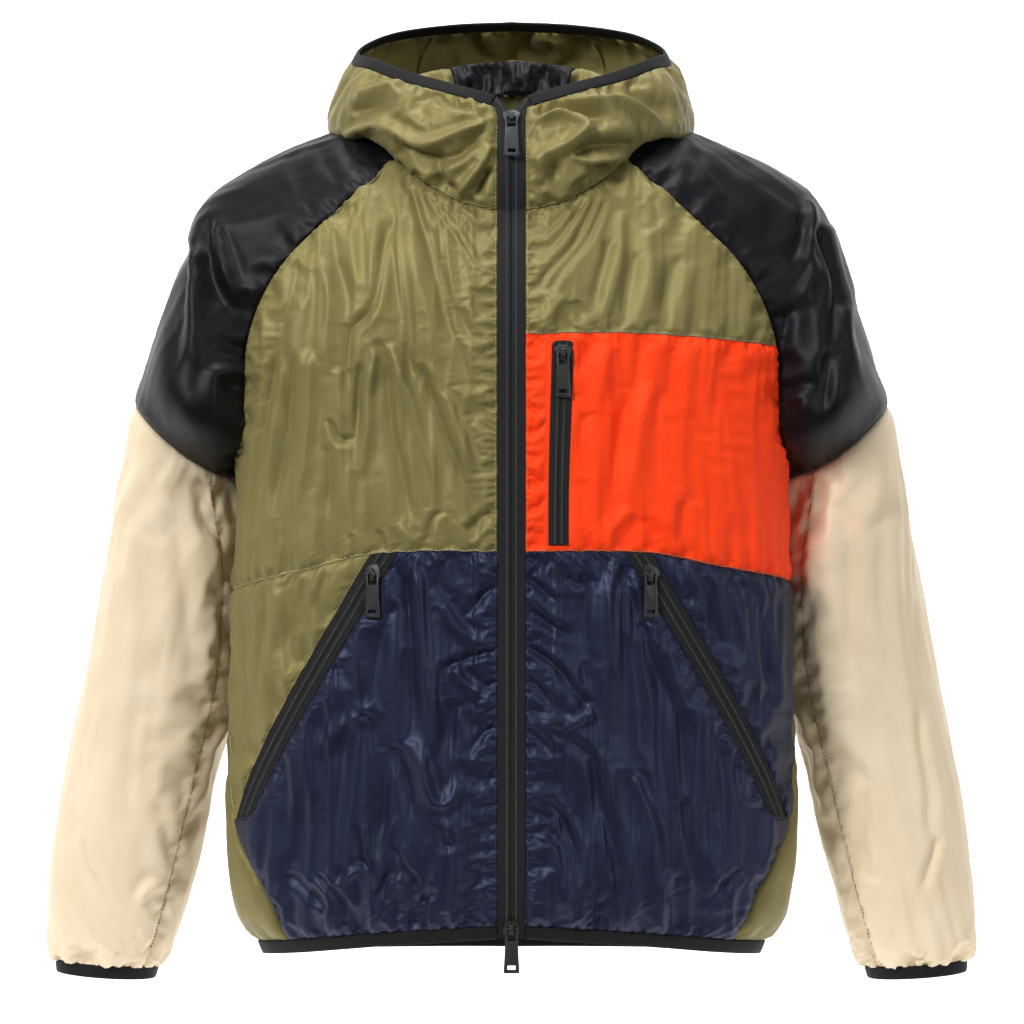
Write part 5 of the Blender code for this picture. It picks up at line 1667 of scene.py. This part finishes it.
for side, name in SIDES:
    inner, outer = FRONTS[side]["pocket"]
    lines = [even(line, 181) for line in (inner, (inner + outer) / 2, outer)]
    lines = [torso(side * line[:, 0], line[:, 1]) for line in lines][::side]
    zip_tape(f"pocket_zip_{name}", lines[1], lines[::2], POCKET_LIFT)
show_sizes("zip")

# %% [markdown]
# ### Stitches
# Topstitching holds the cloth down beside each zip and seam: stitches of about 2.3 mm, 3.1 mm apart,
# in a thread lighter than the cloth. Each is a short rod that lies on the settled cloth. Two close
# rows lie on the very edge of each pieced seam, and two curved rows hold each hand pocket's top.

# %% Stitches
STITCH, THREAD = 2.3, 0.62
STITCH_PITCH, CLOSE_PITCH = 3.1, 2.4
SEAM_GAP, NECK_GAP, ROW_GAP = 1.8, 2.0, 2.2
CLOSE_GAPS, CLOSE_LIFT = (0.4, 0.8), 0.7
LAID_SPREAD, LAID_LIFT = 1.5, 0.35


def stitch(thread, line, pitch=STITCH_PITCH):
    """Adds a row of stitches along a line to its thread's list, as (starts, ends)."""
    at = np.arange(1.0, along(line)[-1] - STITCH - 1.0, pitch)
    stitch_lines[thread].append((along_line(line, at), along_line(line, at + STITCH)))


def laid_on(grid, x, z):
    """A line of the front view laid on a cloth: its y is the mean of the cloth's, each point weighted
    by exp(-(distance/spread)^2), and it lies a little in front."""
    near = (grid[..., 0] - x[:, None, None]) ** 2 + (grid[..., 2] - z[:, None, None]) ** 2
    weight = np.exp(-near / LAID_SPREAD**2)
    y = (weight * grid[..., 1]).sum((1, 2)) / weight.sum((1, 2))
    return np.stack([x, y - LAID_LIFT, z], 1)


for node, thread, edges in (
    ("front_chest_right", olive_thread, ("right", "bottom")),
    ("front_yoke_left", olive_thread, ("left", "bottom")),
    ("chest_panel_left", orange_thread, ("left", "bottom")),
    ("front_lower_left", navy_thread, ("left", "right")),
    ("front_lower_right", navy_thread, ("left", "right")),
    ("pocket_side_left", navy_thread, ("left",)),
    ("pocket_side_right", olive_thread, ("right",)),
):
    for edge in edges:
        stitch(thread, beside(fronts[node], edge, SEAM_GAP))
for name, edge, gap in (
    ("left", "left", SEAM_GAP),
    ("right", "right", SEAM_GAP),
    ("left", "bottom", NECK_GAP),
    ("right", "bottom", NECK_GAP),
):
    stitch(olive_thread, beside(hoods[name], edge, gap))
left, right, low, high = CHEST_ZIP
heights = np.linspace(low, high, 200)
for u in (left - ROW_GAP, right + ROW_GAP):
    strip = np.stack([torso(u, heights), torso(u + 1, heights)], 1)
    stitch(orange_thread, strip[:, 0] + SEAM_DEPTH * outward(strip)[:, 0])
for node, thread, edge in (
    ("front_chest_right", olive_thread, "bottom"),
    ("front_yoke_left", green_thread, "bottom"),
    ("chest_panel_left", orange_thread, "bottom"),
    ("pocket_side_right", olive_thread, "left"),
):
    for distance in CLOSE_GAPS:
        stitch(thread, beside(fronts[node], edge, distance, CLOSE_LIFT), CLOSE_PITCH)
bend = np.linspace(0, math.pi / 2, 24)
bar_x, bar_top, bar_wide, bar_long = 110, -344, 17, 24
for side, name in SIDES:
    for gap in (0.0, ROW_GAP):
        x = side * (bar_x - gap - bar_wide * np.cos(bend))
        line = laid_on(fronts[f"front_lower_{name}"], x, bar_top - bar_long * np.sin(bend))
        stitch(navy_thread, line)
for lower in sleeves.values():
    stitch(cream_thread, beside(lower, "left", 1.4))
    stitch(cream_thread, beside(lower, "right", 0.2))
for thread, rows in stitch_lines.items():
    starts, ends = (np.concatenate(points) for points in zip(*rows))
    out = np.stack([starts[:, 0] * 0.3, starts[:, 1] - 20, 0 * starts[:, 0]], 1)
    rods(f"stitches_{thread.name.split('_polyester')[0]}", starts, ends, out, THREAD, THREAD, thread)
    print(thread.name, len(starts), "stitches")

# %% [markdown]
# ### Sliders and pulls
# The sliders and pulls are the frame's own solids with rounded edges, because they are cast. Each
# pull rides on its own body.

# %% Sliders and pulls
CAST_EDGE = 0.28


def cast(node, body):
    """A copy of a node's solid: its flat faces joined up again, and its edges rounded."""
    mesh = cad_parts[node].data.copy()
    mesh.materials.clear()
    mesh.materials.append(zinc)
    obj = bpy.data.objects.new(f"{node}_painted", mesh)
    bpy.context.collection.objects.link(obj)
    build = bmesh.new()
    build.from_mesh(mesh)
    bmesh.ops.remove_doubles(build, verts=build.verts, dist=1e-5)
    bmesh.ops.dissolve_limit(build, angle_limit=0.02, verts=build.verts, edges=build.edges)
    build.to_mesh(mesh)
    build.free()
    mesh.shade_smooth()
    soften = obj.modifiers.new("rounded edges", "BEVEL")
    soften.width = CAST_EDGE * MM
    soften.segments = 2
    soften.limit_method = "ANGLE"
    soften.harden_normals = True
    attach(obj, body)
    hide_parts(node)


ZIP_ENDS = (
    # slider, pull
    ("front_slider_top", "front_pull_top"),
    ("front_slider_bottom", "front_pull_bottom"),
    ("chest_slider", "chest_pull"),
    ("pocket_slider_left", "pocket_pull_left"),
    ("pocket_slider_right", "pocket_pull_right"),
)
for slider, _ in ZIP_ENDS:
    cast(slider, "jacket")
for _, pull in ZIP_ENDS:
    cast(pull, pull)

# %% Sizes and the end
low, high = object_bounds()
print("scene box", [round(value, 4) for value in [*low, *high]])
for node, size in sorted(sizes.items()):
    print(node, "flat width, length in mm and area in cm2:", size)
